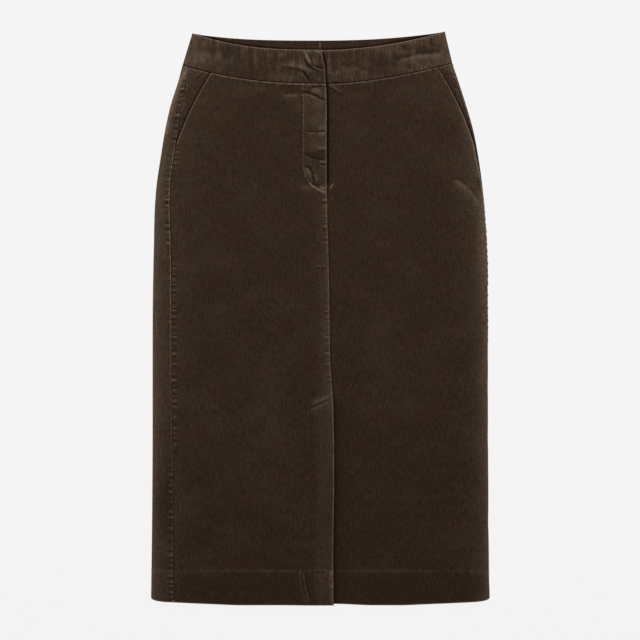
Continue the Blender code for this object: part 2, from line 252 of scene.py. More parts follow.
def front_hem(side, arc):
    """Height of a front's hem: the right one is a little short beside the slit."""
    return hem_edge(arc) + (SLIT_HEM_RISE * ease((arc - 0.165) / 0.05) if side > 0 else 0.0)


def mouth_x(side, y):
    """x of the pocket mouth, from the waist seam to the side seam."""
    top_x, end_y = POCKET_TOP[side], POCKET_END_Y[side]
    top_y = waist_edge("front_seam", top_x)
    end_x, _ = lay(side, seam_arc(side, end_y), end_y)
    way = way_along(y, top_y, end_y)
    return between(top_x, end_x, way) + side * POCKET_BOW[side] * 4 * way * (1 - way)


def front_outer_arc(side, y):
    """Arc of the outer edge of a front: the pocket mouth, and the side seam below it."""
    mouth = arc_at(side, mouth_x(side, y), y)
    return np.where(y > POCKET_END_Y[side], mouth, seam_arc(side, y)) + SEAM_GAP / 2


for side in (-1, 1):
    drop = waist_edge("front_seam", POCKET_TOP[side]) - POCKET_END_Y[side]
    print(f"pocket mouth on side {side}: {drop / MM:.0f} mm high")

# %% The lap at the centre front
FLY_END_Y = 0.1840
SLIT_TOP_Y = -0.1060
OPEN_LAP = 0.0025  # lift of the left front where it is open
CLOSED_LAP = 0.0010  # and along the seam
OPEN_FLAT = 0.034  # it stays lifted over this breadth where it is open
CLOSED_FLAT = 0.010  # and over this one along the seam
LAP_FALL = 0.040  # and then sinks to the tube over this one
TUCK = 0.006  # the right front runs this far under the left one
UNDERLAP = 0.030  # and this far at the slit
TUCK_DROP = 0.0006  # it lies this much lower there
FLY_CLOSES = 0.018  # lengths over which the fly and the slit close
SLIT_CLOSES = 0.040
FLY_FADE = 0.004  # lengths over which the look of the fly and of the slit fades
SLIT_FADE = 0.010


def openness(y):
    """1 at the fly and the slit, and 0 along the seam between them."""
    return ease((y - FLY_END_Y) / FLY_CLOSES + 1) + ease((SLIT_TOP_Y - y) / SLIT_CLOSES)


def along_fly(y, further=0):
    """1 along the fly and 0 below it. It may run on further, by so many lengths of the fade."""
    return ease((y - FLY_END_Y) / FLY_FADE + further)


def along_slit(y):
    """1 along the slit and 0 above it."""
    return ease((SLIT_TOP_Y - y) / SLIT_FADE)


def past_centre(side, x, y):
    """How far outwards from the centre line a point lies, in mm."""
    return side * (x - level(y, "centre")) / MM


def underlap(y):
    return TUCK + (UNDERLAP - TUCK) * ease((SLIT_TOP_Y - y) / SLIT_CLOSES - 0.3)


def centre_lift(x, y, side):
    """How far a front lies above the laid tube near the centre."""
    from_centre = side * (x - level(y, "centre"))
    if side > 0:
        return -TUCK_DROP * ease(1 - from_centre / LAP_FALL)
    lap = between(CLOSED_LAP, OPEN_LAP, openness(y))
    flat = between(CLOSED_FLAT, OPEN_FLAT, openness(y))
    return lap * ease(1 - (from_centre - flat) / LAP_FALL)


print(f"fly length: {(waist_edge('front_seam', 0.0) - FLY_END_Y) / MM:.0f} mm")
print(f"slit length: {(SLIT_TOP_Y - HEM_Y) / MM:.0f} mm")

# %% [markdown]
# ## Camera, light and floor
# The photograph looks straight down on the skirt, and one pixel is 1.40 mm of cloth. A long lens
# from far above gives that view with little perspective. The light is soft and comes mostly from
# the waist end, so the hem is a little darker. One large softbox and a pale world do that.

# %% Camera
PIXEL = 0.0014
IMAGE = 640
CAMERA_HEIGHT = 2.6
MEASURED_HEIGHT = 0.006  # the outline lies halfway up the rolls
SKIRT_PIXEL = (319.9, 318.8)  # where the origin shows in the photograph

camera = bpy.data.objects.new("camera", bpy.data.cameras.new("camera"))
bpy.context.scene.collection.objects.link(camera)
camera.location = (
    (IMAGE / 2 - SKIRT_PIXEL[0]) * PIXEL,
    (SKIRT_PIXEL[1] - IMAGE / 2) * PIXEL,
    CAMERA_HEIGHT,
)
camera.data.sensor_width = 36
camera.data.lens = 36 * (CAMERA_HEIGHT - MEASURED_HEIGHT) / (IMAGE * PIXEL)
bpy.context.scene.camera = camera
print(f"lens: {camera.data.lens:.1f} mm")

# %% Light and floor
SOFTBOX_AT = (0.0, 0.95, 1.5)
SOFTBOX_SIZE = (1.1, 0.5)
SOFTBOX_POWER = 24.0
WORLD_STRENGTH = 0.36
FLOOR_SIZE = 40.0
FLOOR_Z = -0.0003  # just under the skirt

softbox = bpy.data.lights.new("softbox", "AREA")
softbox.shape = "RECTANGLE"
softbox.size, softbox.size_y = SOFTBOX_SIZE
softbox.energy = SOFTBOX_POWER
softbox_stand = bpy.data.objects.new("softbox", softbox)
softbox_stand.location = SOFTBOX_AT
softbox_stand.rotation_euler = (-np.arctan2(SOFTBOX_AT[1], SOFTBOX_AT[2]), 0, 0)
softbox_stand.visible_camera = False
bpy.context.scene.collection.objects.link(softbox_stand)

world = bpy.data.worlds.new("studio")
world.use_nodes = True
world.node_tree.nodes["Background"].inputs["Color"].default_value = (1, 1, 1, 1)
world.node_tree.nodes["Background"].inputs["Strength"].default_value = WORLD_STRENGTH
bpy.context.scene.world = world
bpy.context.scene.view_settings.view_transform = "Standard"

bpy.ops.object.select_all(action="DESELECT")
bpy.ops.mesh.primitive_plane_add(size=FLOOR_SIZE, location=(0, 0, 0))
floor = bpy.context.object
floor.name = "floor"
for vertex in floor.data.vertices:
    vertex.co.z = FLOOR_Z
floor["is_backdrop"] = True
print(f"softbox {SOFTBOX_AT[2]} m up, floor {-FLOOR_Z / MM:.1f} mm under the skirt")

# %% [markdown]
# ## Shader sums
# A finish is a tree of nodes, and most of them are sums. One small class wraps a node's output, so
# that a sum can be written as it is on paper. Every other node comes from its method node().

# %% A node output that takes part in sums


class Shade:
    """One output of a material's nodes. A sum on it adds Math nodes."""

    def __init__(self, tree, socket=None):
        self.tree = tree
        self.socket = socket

    def node(self, kind, settings=None, sockets=None, out=0):
        """Adds a node: its settings first, then the values or links of its sockets."""
        made = self.tree.nodes.new(kind)
        for name, value in (settings or {}).items():
            if name == "stops":
                ramp = made.color_ramp
                while len(ramp.elements) < len(value):
                    ramp.elements.new(0.5)
                for element, (position, colour) in zip(ramp.elements, value):
                    element.position = position
                    element.color = (*colour, 1)
            else:
                setattr(made, name, value)
        for name, value in (sockets or {}).items():
            if isinstance(value, Shade):
                self.tree.links.new(value.socket, made.inputs[name])
            else:
                made.inputs[name].default_value = value
        return Shade(self.tree, made.outputs[out] if len(made.outputs) else None)

    def sum_of(self, operation, first, second=0.0):
        return self.node("ShaderNodeMath", {"operation": operation}, {0: first, 1: second})

    def __add__(self, other):
        return self.sum_of("ADD", self, other)

    def __sub__(self, other):
        return self.sum_of("SUBTRACT", self, other)

    def __rsub__(self, other):
        return self.sum_of("SUBTRACT", other, self)

    def __mul__(self, other):
        return self.sum_of("MULTIPLY", self, other)

    def __truediv__(self, other):
        return self.sum_of("DIVIDE", self, other)

    __radd__ = __add__
    __rmul__ = __mul__


def new_finish(name):
    """An empty material, and the place that its nodes grow from."""
    made = bpy.data.materials.new(name)
    made.use_nodes = True
    made.node_tree.nodes.clear()
    return made, Shade(made.node_tree)


def ramp(start, value, *stops):
    """A colour that changes with a value. Each stop is a position and its colour."""
    return start.node("ShaderNodeValToRGB", {"stops": stops}, {0: value})


def surface(start, sockets):
    """Ends a finish with one shader, which has these sockets."""
    shader = start.node("ShaderNodeBsdfPrincipled", None, sockets)
    start.node("ShaderNodeOutputMaterial", None, {"Surface": shader})


# %% [markdown]
# ## Needlecord
# Needlecord is a cotton velvet whose pile stands in fine ribs, called wales, that run down the
# cloth. The pile drinks light, so the cloth is nearly matt, but at a slant its tips catch a soft
# sheen. Where it is creased, turned or pressed the tips are rubbed paler and a painted highlight is
# added there, and grooves and shadows get painted shade. The dye is a little uneven, warmer here and
# cooler there. A picture of cord could be wrapped on, but nodes on each piece's flat cut keep the
# wales at their real size. The relief made later, with its painted light and shade, is kept on the
# mesh as an attribute and shifts the tone.

# %% The cord finish
WALE = 0.0012  # from one wale to the next
WALE_RELIEF = 0.00010
SHEEN = 0.035
WARM_DYE, COOL_DYE = (1.05, 0.985, 0.98), (0.95, 1.015, 1.0)


def noise(start, where, across, along, detail=2.0):
    """Soft noise on the flat cut, with so many swells to the metre across and along it."""
    stretched = start.node("ShaderNodeMapping", None, {"Vector": where, "Scale": (across, along, 1.0)})
    sockets = {"Vector": stretched, "Scale": 1.0, "Detail": detail, "Roughness": 0.55}
    return start.node("ShaderNodeTexNoise", None, sockets)


def cord(name, shade_colour, tone, worn_highlight_colour, mottle=1.0):
    """Needlecord between painted shade in its grooves and shadows, and worn pile with a painted highlight
    on its ridges.
    """
    finish, start = new_finish(name)
    cut = start.node("ShaderNodeUVMap", {"uv_map": "cut"})
    rub = start.node("ShaderNodeAttribute", {"attribute_name": "rub"}, out="Fac")
    across = start.node("ShaderNodeSeparateXYZ", None, {0: cut})
    wander = noise(start, cut, 30.0, 12.0)
    wale = start.sum_of("SINE", (across / WALE + wander * 1.5) * (2 * np.pi))
    grain = noise(start, cut, 330.0, 110.0, 3.0)
    speck = noise(start, cut, 380.0, 420.0, 2.0)
    patch = noise(start, cut, 17.0, 21.0, 3.0)
    tuft = noise(start, cut, 75.0, 90.0, 3.0)
    unevenness = noise(start, cut, 26.0, 34.0, 3.0)
    # place on the ramp: random patches of pile, plus the worn pile, painted highlight and painted shade
    # from the attribute
    tone_and_painted_light = 0.5 + (tuft - 0.5) * (0.06 * mottle) + (patch - 0.5) * (0.04 + 0.07 * mottle) + rub * 0.5
    smooth = ramp(start, tone_and_painted_light, (0.0, shade_colour), (0.5, tone), (1.0, worn_highlight_colour))
    dye = ramp(start, unevenness, (0.35, WARM_DYE), (0.65, COOL_DYE))
    dyed = start.node("ShaderNodeVectorMath", {"operation": "MULTIPLY"}, {0: smooth, 1: dye})
    pile_light = 1.045 + (grain - 0.5) * 1.2 + (speck - 0.5) * 1.3 + wale * 0.15
    colour = start.node("ShaderNodeVectorMath", {"operation": "SCALE"}, {0: dyed, "Scale": pile_light})
    height = wale * 1.0 + grain * 1.2 + speck * 0.8
    pile = start.node("ShaderNodeBump", None, {"Strength": 1.0, "Distance": WALE_RELIEF, "Height": height})
    sockets = {
        "Base Color": colour,
        "Roughness": 0.84 + grain * 0.1,
        "Normal": pile,
        "Specular IOR Level": 0.03,
        "Sheen Weight": SHEEN,
        "Sheen Roughness": 0.30,
        "Sheen Tint": (0.80, 0.62, 0.50, 1),
    }
    surface(start, sockets)
    return finish


# first colour of each ramp: painted shade for grooves, gaps and shadows; last colour: worn pile with a
# painted highlight
PAINTED_SHADE_COLOUR = (0.006, 0.0036, 0.0024)
needlecord = cord("needlecord", PAINTED_SHADE_COLOUR, (0.0300, 0.0174, 0.0107), (0.135, 0.093, 0.065))
waistband_cord = cord("waistband_cord", PAINTED_SHADE_COLOUR, (0.0345, 0.0200, 0.0127), (0.150, 0.104, 0.075), mottle=5.0)
facing_cord = cord("facing_cord", PAINTED_SHADE_COLOUR, (0.0360, 0.0218, 0.0140), (0.135, 0.092, 0.065), mottle=4.0)
print("wales to the centimetre:", round(0.01 / WALE, 1))

# %% Thread and floor finishes
PALE_THREAD, DARK_THREAD = (0.105, 0.070, 0.048), (0.028, 0.017, 0.011)
FLOOR_GLOW = 0.876


def thread_finish():
    """Twisted cotton thread: a dark brown yarn with slanting plies."""
    finish, start = new_finish("sewing_thread")
    place = start.node("ShaderNodeTexCoord", out="Object")
    ply = start.node("ShaderNodeTexNoise", None, {"Vector": place, "Scale": 900.0, "Detail": 2.0})
    colour = ramp(start, ply, (0.3, DARK_THREAD), (0.7, PALE_THREAD))
    twist = start.node("ShaderNodeBump", None, {"Strength": 0.6, "Distance": 0.00005, "Height": ply})
    surface(start, {"Base Color": colour, "Roughness": 0.62, "Normal": twist})
    return finish


def floor_finish():
    """Plain pale paper over a lit table, which softens every shadow on it."""
    finish, start = new_finish("pale_floor")
    sockets = {
        "Base Color": (0.03, 0.03, 0.03, 1),
        "Roughness": 1.0,
        "Specular IOR Level": 0.0,
        "Emission Color": (1, 1, 1, 1),
        "Emission Strength": FLOOR_GLOW,
    }
    surface(start, sockets)
    return finish


sewing_thread = thread_finish()
floor.data.materials.append(floor_finish())
print("finishes:", ", ".join(m.name for m in bpy.data.materials))

# %% [markdown]
# ## Relief
# Pressed cloth is never flat: edges that are turned under roll down, seams pull in and pucker, and
# handling leaves creases. Relief is a height in millimetres that is added to the laid cloth along
# its normal. It could be sculpted or displaced by a picture. Written as functions of real sizes,
# the same few shapes serve every edge, and a painted highlight on each crest and painted shade in
# each groove follow them, with the worn pile.

# %% Waves, edges and seams


def wobble(way, pitch, seed):
    """An uneven wave between about -1 and 1. One swell is about a pitch long."""
    t = 2 * np.pi * way / pitch
    waves = np.sin(t + seed) + 0.7 * np.sin(1.618 * t + 2.3 * seed) + 0.5 * np.sin(0.577 * t + 5.1 * seed)
    return waves / 1.7


def hump(away, width):
    """A soft bell, 1 in its middle."""
    return np.exp(-((away / width) ** 2))


def turned_edge(away, drop=0.8, radius=0.9, crest=0.5):
    """An edge that is turned under: a thin crest, where the pile is rubbed and a highlight is painted,
    rolling down to its fold.
    """
    return crest * hump(away - radius, 0.8) - drop * np.clip(1 - away / radius, 0, 1) ** 2


def seam_edge(away, way, seed, depth, ridge, inset=0.9):
    """Beside a seam: the cloth dives into it or rises in an uneven ridge, with puckers beyond."""
    dive = -depth * hump(away, 0.6)
    crest = ridge * (1 + 0.5 * wobble(way, 9.0, seed)) * hump(away - inset, 1.0)
    pucker = 0.12 * wobble(way, 6.0, seed + 1) * np.exp(-away / 4.0)
    return dive + crest + pucker


print(f"a turned edge rises {turned_edge(0.9):.1f} mm, and falls {-turned_edge(0.0):.1f} mm at its fold")

# %% One crease along a line of points


def from_line(x, y, points):
    """Signed distance from a line of points, positive on its left, and how far along it that is."""
    points = np.array(points, float)
    steps = np.diff(points, axis=0)
    lengths = np.hypot(*steps.T)
    passed = np.cumsum(lengths) - lengths
    nearest = np.full(np.shape(x), np.inf)
    signed, way = np.zeros(np.shape(x)), np.zeros(np.shape(x))
    for start, step, length, before in zip(points, steps, lengths, passed):
        along = np.clip(((x - start[0]) * step[0] + (y - start[1]) * step[1]) / length**2, 0, 1)
        dx, dy = x - start[0] - along * step[0], y - start[1] - along * step[1]
        away = np.hypot(dx, dy)
        closer = away < nearest
        nearest = np.where(closer, away, nearest)
        signed = np.where(closer, np.sign(step[0] * dy - step[1] * dx) * away, signed)
        way = np.where(closer, before + along * length, way)
    return signed, way


def crease(x, y, width, crest, trough, shift, points):
    """A trough along a line with a crest beside it, uneven along its way and fading at both ends."""
    signed, way = from_line(x, y, points)
    length = np.hypot(*np.diff(points, axis=0).T).sum()
    reach = min(5.0, 0.22 * length)
    fade = ease(way / reach) * ease((length - way) / reach) * (0.9 + 0.25 * wobble(way, 13.0, points[0][0]))
    beside = crest * (hump(signed - shift, width) + 0.25 * hump(signed - 1.5 * shift, 3 * width))
    return fade * (beside - trough * hump(signed, 0.8 * width))


sample = crease(10.0, 0.0, 1.5, 0.0, 0.6, 0.0, [(0, 0), (20, 0)])
print(f"halfway along a trough 0.6 mm deep: {sample:.2f} mm")

# %% [markdown]
# ## Creases of this skirt
# These were read from the photograph one by one, in millimetres from the middle of the skirt. Each
# row gives the breadth of the crease, the height of its crest, the depth of its trough, how far the
# crest lies to the left of the line, and the line itself. A negative shift puts it on the right.

# %% Creases on the front
LEFT_BAND_CREASES = [
    (1.2, 0.1, 0.85, 2.3, [
        (-22.8, 365.8), (-20.6, 361.6), (-18.1, 357.4),
        (-13.9, 352.8), (-8.3, 349.4), (0.8, 344.7),
    ]),
    (1.3, 0.45, 0, 0, [(-21.1, 375.5), (-19, 368.6), (-16, 363), (-11.1, 356.7)]),
    (1.9, 0.24, 0, 0, [(-34, 355), (-22.3, 351.7), (-15.3, 348), (-9, 346.9)]),
    (0.9, 0.15, 0.45, 1.7, [(-14.1, 368.6), (-12.2, 364.4), (-10.5, 360.2), (-9.9, 355.3)]),
    (1.3, 0.25, 0.85, -2.0, [(-9.5, 355), (-4.1, 352.5), (0.1, 350.6), (4.6, 350.3)]),
    (0.9, 0.45, 0.45, 1.6, [(-7.1, 372.1), (-4.1, 371.3), (-0.1, 369.6)]),
    (2.4, 0.1, 0.32, 3.2, [(-55.9, 352.1), (-41.9, 350.8), (-33.5, 348.9), (-23, 346.6)]),
    (1.6, 0.1, 0.85, -2.4, [(-29, 348), (-22.5, 345.5), (-19.5, 341), (-16.4, 337.1), (-12.8, 332.3)]),
]
RIGHT_BAND_CREASES = [
    (3.6, 0.10, 0.22, -4.0, [(104, 363), (120, 366.5), (136, 371), (152, 374), (170, 374)]),
    (3.0, 0.11, 0, 0, [(16, 340.5), (32, 347.3), (53.3, 349.1), (70, 343.5)]),
    (1.2, 0.1, 0.6, 2.0, [(15, 333.5), (21, 331.2), (27, 331.5)]),
]
FLY_CREASES = [
    (1.5, 0, 0.6, 0, [(-11.8, 324.1), (-6.9, 325.1), (-1.3, 325.6), (5, 326.9)]),
    (1.9, 0.3, 0, 0, [(-14.6, 318.9), (-9.7, 319.8), (-4.1, 320), (1.5, 318.6)]),
    (1.6, 0.2, 0.85, -2.6, [
        (-27.9, 318.2), (-15.3, 316.1), (-9.7, 313.9), (-4.1, 311.6),
        (0.1, 309.1), (4.3, 307), (8, 306.6),
    ]),
    (2.0, 0.2, 0.14, -2.4, [(-52, 315.2), (-39.1, 315.4), (-29.3, 316.1)]),
    (1.1, 0.18, 0.42, -2.2, [(-22.3, 262.9), (-13.9, 261.8), (-5.5, 262.1), (7.8, 262.4)]),
    (1.6, 0.12, 0.62, -2.4, [
        (-23.7, 231.8), (-16.7, 229.3), (-11.8, 226.8),
        (-5.5, 224.6), (1.5, 223.2), (7.8, 222.9),
    ]),
    (1.4, 0.18, 0.65, -2.8, [
        (-23, 213.9), (-18.1, 213.4), (-13.9, 211.7),
        (-11.6, 206.2), (-9.9, 200.6), (-7.1, 190.8),
    ]),
    (1.6, 0.28, 0, 0, [(-8.2, 203.5), (-6.2, 198.5), (-2.3, 192.6)]),
    (1.7, 0.30, 0, 0, [(-3, 267), (9, 268)]),
    (1.5, 0.25, 0, 0, [(-3, 258.2), (9, 259)]),
    (1.9, 0.20, 0.18, 3.2, [(-4.5, 235), (9, 236)]),
    (1.5, 0.25, 0.25, 2.6, [(-1, 216.5), (9, 217)]),
    (1.0, 0.15, 0.5, -1.8, [(0.1, 217.8), (4.3, 215.9), (8.5, 214.5)]),
    (1.0, 1.1, 0, 0, [
        (-16.4, 190.7), (-12.5, 187.6), (-9, 184), (-4.8, 181.4),
        (0.1, 179.6), (5, 177.5), (11.3, 176.7),
    ]),
    (1.2, 0, 0.65, 0, [(-13.2, 190.5), (-8.3, 187.9), (-3.4, 187.3), (2.2, 185.9)]),
    (0.9, 0.7, 0, 0, [(-1.5, 184.7), (2.9, 183.7), (6.4, 182.6), (11.3, 182.8)]),
    (0.9, 0, 0.35, 0, [(3.6, 180.6), (7.8, 180), (11.3, 179.8)]),
    (2.8, 0.16, 0, 0, [(-29.3, 185.5), (-22.3, 183.7), (-16.7, 183.1), (-11.1, 184)]),
]
FRONT_CREASES = [
    (1.5, 0.2, 0.55, 2.6, [
        (10.6, 323.5), (15.5, 323.1), (19, 321),
        (22.5, 317.8), (26.7, 315.3), (30.9, 314.4),
    ]),
    (1.0, 0.5, 0.3, -1.8, [(11.3, 182.4), (13.4, 185.5), (15.5, 188.7), (18.3, 192.1)]),
    (1.2, 0.12, 0.34, 2.0, [(-6, 71), (11, 70.4)]),
    (2.8, 0.20, 0.14, -4.4, [(187, 198), (197, 194), (208, 185), (219, 173), (226, 160)]),
    (1.9, 0.24, 0, 0, [
        (20, -103.4), (13.4, -106.6), (8.5, -110.2),
        (1.5, -113.6), (-5.5, -115.4), (-12.5, -118.7),
    ]),
    (1.7, 0.20, 0.28, 2.0, [(14, -113.4), (8.5, -115.2), (1.5, -118.7), (-5.5, -121.9), (-17, -126)]),
    (1.1, 0.14, 0.16, -1.9, [
        (-25.8, -350.3), (-25.1, -365.7), (-23.1, -378.3),
        (-20.3, -388.8), (-16.1, -399.3),
    ]),
    (1.0, 0, 0.32, 0, [(-14, -353.6), (0, -354.4), (11, -355)]),
    (1.2, 0.20, 0.42, -2.2, [
        (-21.5, -352.5), (-18.8, -368.5), (-16.7, -379.7),
        (-14.6, -389.5), (-11.1, -397.9),
    ]),
]
ALL_CREASES = LEFT_BAND_CREASES + RIGHT_BAND_CREASES + FLY_CREASES + FRONT_CREASES
print(len(ALL_CREASES), "creases placed by hand")


def creases(x, y, rows):
    return sum(crease(x / MM, y / MM, *row) for row in rows)


# %% Painted highlights and shade on the pile, and its paler worn folds
# painted highlights of the band's folds and painted shade beside them
BAND_LIGHT_AND_SHADE = [  # x, y, breadth and height in mm, and the change of tone
    (-165, 367, 16, 7, 0.26),
    (-140, 352, 12, 6, -0.06),
    (-130, 374, 18, 6, -0.14),
    (-96, 350, 3, 13, -0.20),
    (-56, 373, 14, 5, 0.10),
    (-40, 357, 16, 6, 0.18),
    (-17, 372, 8, 4, 0.12),
    (28, 348, 12, 7, 0.10),
    (84, 349, 12, 7, -0.08),
    (-12, 374, 9, 2.5, 0.22),
    (7.5, 362, 2.5, 7, -0.60),
    (118, 381, 3, 3, -0.30),
    (122, 364, 10, 3, 0.26),
    (142, 367.5, 14, 3.5, 0.38),
    (164, 367, 12, 5, 0.34),
    (140, 359, 14, 4, 0.14),
    (148, 350, 24, 8, 0.28),
    (104, 352, 22, 9, 0.03),
    (134, 371, 16, 5, 0.14),
    (70, 372, 26, 6, -0.06),
    (34, 378, 16, 3, 0.10),
]
# painted light and shade of the front's soft swells, folds and notches
FRONT_LIGHT_AND_SHADE = [
    (-91, 323, 25, 8, 0.08),
    (-80, 300, 22, 9, -0.04),
    (-28, 298, 10, 12, 0.07),
    (-40, 312, 22, 7, 0.07),
    (60, 312, 26, 6, 0.06),
    (0, 222, 9, 28, -0.13),
    (-18, 206, 4, 5, 0.20),
    (200, 182, 9, 12, 0.08),
    (-77, -150, 45, 130, 0.055),
    (98, -60, 42, 85, 0.035),
    (130, 318, 48, 12, 0.06),
    (2, -368, 16, 26, 0.12),
    (-39, 321, 11, 6, -0.20),
    (-11, 322, 5, 4, -0.22),
    (-6, 224, 11, 7, -0.26),
    (225, 190, 6, 9, -0.42),
    (-23, 283, 5, 32, 0.10),
    (9, 155, 4, 18, 0.12),
    (228, 105, 9, 78, 0.18),
    (229, -95, 9, 40, 0.06),
    (231, -280, 9, 34, -0.09),
]
# how far in from each side the painted fold highlight reaches
FOLD_REACH = {-1: 34.0, 1: 18.0}  # mm


def patches(x, y, rows):
    x_mm, y_mm = x / MM, y / MM
    return sum(
        tone * hump(x_mm - row_x, wide) * hump(y_mm - row_y, high)
        for row_x, row_y, wide, high, tone in rows
    )


def fold_highlight_and_wear(side, x, y):
    """Painted highlight of the sheen where the cloth rounds over the fold at each side, with paler worn
    pile there: lighter towards the fold.
    """
    inside = np.maximum(side * (outline(side, y) - x), 0) / MM
    return 0.54 * np.exp(-inside / 6.0) + 0.20 * np.exp(-inside / FOLD_REACH[side])


print(len(BAND_LIGHT_AND_SHADE) + len(FRONT_LIGHT_AND_SHADE), "patches of another tone")

# %% Soft unevenness of the whole front


def softness(x, y):
    """Broad, low swells of cloth that has been worn and laid down again."""
    return (
        0.22 * wobble(x + 0.35 * y, 0.095, 1.0) * wobble(y - 0.2 * x, 0.160, 2.0)
        + 0.14 * wobble(y + 0.5 * x, 0.062, 3.0)
        + 0.10 * wobble(x - 0.3 * y, 0.045, 4.0)
    )


grid_x, grid_y = np.meshgrid(np.linspace(-0.23, 0.23, 47), np.linspace(-0.4, 0.4, 81))
print(f"swells of up to {np.abs(softness(grid_x, grid_y)).max():.1f} mm")

# %% [markdown]
# ## How a piece of cloth is made
# Each piece starts as a flat grid whose columns and rows lie closer together where there is more to
# show. Every point is laid on the tube, then lifted by its relief. The Solidify modifier gives the
# cloth its wall on the inner side. The flat cut is kept as the UV map, in metres, for the wales.

# %% Lay a grid of cloth
# relief that gives the full painted highlight on a crest, or the full painted shade in a groove, with the
# worn pile
WEAR_AND_LIGHT_RELIEF = 0.7  # mm of relief that rub the pile as far as it goes
PASSES = 6  # an edge's height depends on x and x on height, so each point is laid this many times
SIDE_NAMES = {-1: "left", 1: "right"}


def graded(length, spacings):
    """Shares from 0 to 1 of a length, with the spacing that is wanted at each distance."""
    at, wanted = zip(*spacings)
    steps = [0.0]
    while steps[-1] < length:
        steps.append(steps[-1] + np.interp(steps[-1], at, wanted))
    return np.array(steps) / steps[-1]


def flat_cut(points, fanned):
    """Each point's place on the flat cut: its length of cloth across, and its height.

    On a fanned piece the wales lean with its ends.
    """
    stride = np.linalg.norm(np.diff(points, axis=1), axis=-1)
    across = np.concatenate([np.zeros((len(points), 1)), np.cumsum(stride, axis=1)], axis=1)
    x = points[..., 0]
    zero = np.abs(x[len(x) // 2]).argmin()
    direction = np.sign(x[len(x) // 2, -1] - x[len(x) // 2, 0])
    across = (across - across[:, zero : zero + 1]) * direction + x[:, zero : zero + 1]
    if fanned:
        across = np.broadcast_to(across[len(across) // 2], across.shape)
    return np.stack([across, points[..., 1]], axis=-1)


def cloth(name, across, down, place, finish, wall=CLOTH, layers=None, fanned=False):
    """A piece of cloth laid by place(u, v): x, y, z, its broad and fine relief in mm, and its tone, with
    painted light and shade.

    layers(u, v) is the share of the wall at each point.
    """
    u, v = np.meshgrid(across, down)
    x, y, z, broad, fine, tone = place(u, v)
    points = np.stack([x, y, z], axis=-1)
    normal = np.cross(np.gradient(points, axis=1), np.gradient(points, axis=0))
    normal /= np.linalg.norm(normal, axis=-1, keepdims=True)
    facing = np.sign(normal[np.unravel_index(np.argmax(z), z.shape)][2])
    cut = flat_cut(points, fanned)
    points = points + normal * facing * ((broad + fine) * MM)[..., None]

    grid = bmesh.new()
    bmesh.ops.create_grid(grid, x_segments=len(across) - 1, y_segments=len(down) - 1, size=0.5)
    mesh = bpy.data.meshes.new(name)
    grid.to_mesh(mesh)
    grid.free()
    flat = np.zeros(3 * len(mesh.vertices))
    mesh.vertices.foreach_get("co", flat)
    flat = flat.reshape(-1, 3)
    column = np.rint((flat[:, 0] + 0.5) * (len(across) - 1)).astype(int)
    row = np.rint((0.5 - flat[:, 1]) * (len(down) - 1)).astype(int)
    mesh.vertices.foreach_set("co", points[row, column].ravel())
    corner = np.zeros(len(mesh.loops), int)
    mesh.loops.foreach_get("vertex_index", corner)
    mesh.uv_layers.new(name="cut").data.foreach_set("uv", cut[row, column][corner].ravel())
    # painted highlight on the relief's crests and painted shade in its grooves, with the worn pile, added
    # to the piece's painted tone
    rub = np.clip(fine / WEAR_AND_LIGHT_RELIEF + tone, -1, 1)
    mesh.attributes.new("rub", "FLOAT", "POINT").data.foreach_set("value", rub[row, column])
    if facing > 0:
        mesh.flip_normals()
    mesh.update()
    mesh.materials.append(finish)

    piece = bpy.data.objects.new(name, mesh)
    bpy.context.scene.collection.objects.link(piece)
    solid = piece.modifiers.new("wall", "SOLIDIFY")
    solid.offset = -1
    solid.thickness = wall
    if layers is not None:
        share = np.round(layers(u, v), 2)[row, column]
        group = piece.vertex_groups.new(name="layers")
        solid.vertex_group = group.name
        for weight in np.unique(share):
            group.add(np.flatnonzero(share == weight).tolist(), float(weight), "REPLACE")
    bpy.ops.object.select_all(action="DESELECT")
    piece.select_set(True)
    bpy.context.view_layer.objects.active = piece
    bpy.ops.object.modifier_apply(modifier="wall")
    bpy.ops.object.shade_smooth_by_angle(angle=np.radians(60))
    area = np.abs(np.cross(np.diff(cut, axis=1)[:-1], np.diff(cut, axis=0)[:, :-1])).sum()
    print(f"{name}: {len(mesh.polygons)} faces, {area:.3f} m2 of cloth")
    return piece


print("columns over 30 mm, finer at one end:", len(graded(0.03, [(0, 0.0004), (0.03, 0.002)])))

# %% [markdown]
# ## The two fronts
# Each front is one panel from its side seam and pocket mouth to the centre. On the left one the
# edge is turned under along the fly and the slit, and a curved row of stitches holds the fly. The
# right one runs on under it. The hem of both is turned up and held from inside. All heights and
# lengths in the relief are in millimetres, tried until they looked like the photograph.

# %% Stitch lines, hem and puckers
FLY_WIDTH = 34.5  # all of these are in mm
FLY_TOP = 326
FLY_STITCH_TURN = 215.3
FLY_CURVE = (34.0, 39.0)  # breadth and height of the curve that ends the fly's row of stitches
HEM_STITCH_Y = -352.6
LEFT_SEAM_PULLS = ((198, 252), (-195, 88))  # from and to these heights a seam pulls that side
CENTRE_SEAM_PULLS = ((96, 182), (-96, 40))
BACK_SEAM_PULLS = ((232, 346), (86, 214), (-410, -200))


def fly_line():
    """The curved row of stitches that holds the fly, in mm."""
    heights = np.linspace(FLY_TOP, FLY_STITCH_TURN, 12)
    straight = [(level(y * MM, "centre") / MM - FLY_WIDTH, y) for y in heights]
    start_x, start_y = straight[-1]
    breadth, drop = FLY_CURVE
    bend = np.linspace(0, np.pi / 2, 9)[1:]
    return straight + [(start_x + breadth * (1 - np.cos(a)), start_y - drop * np.sin(a)) for a in bend]


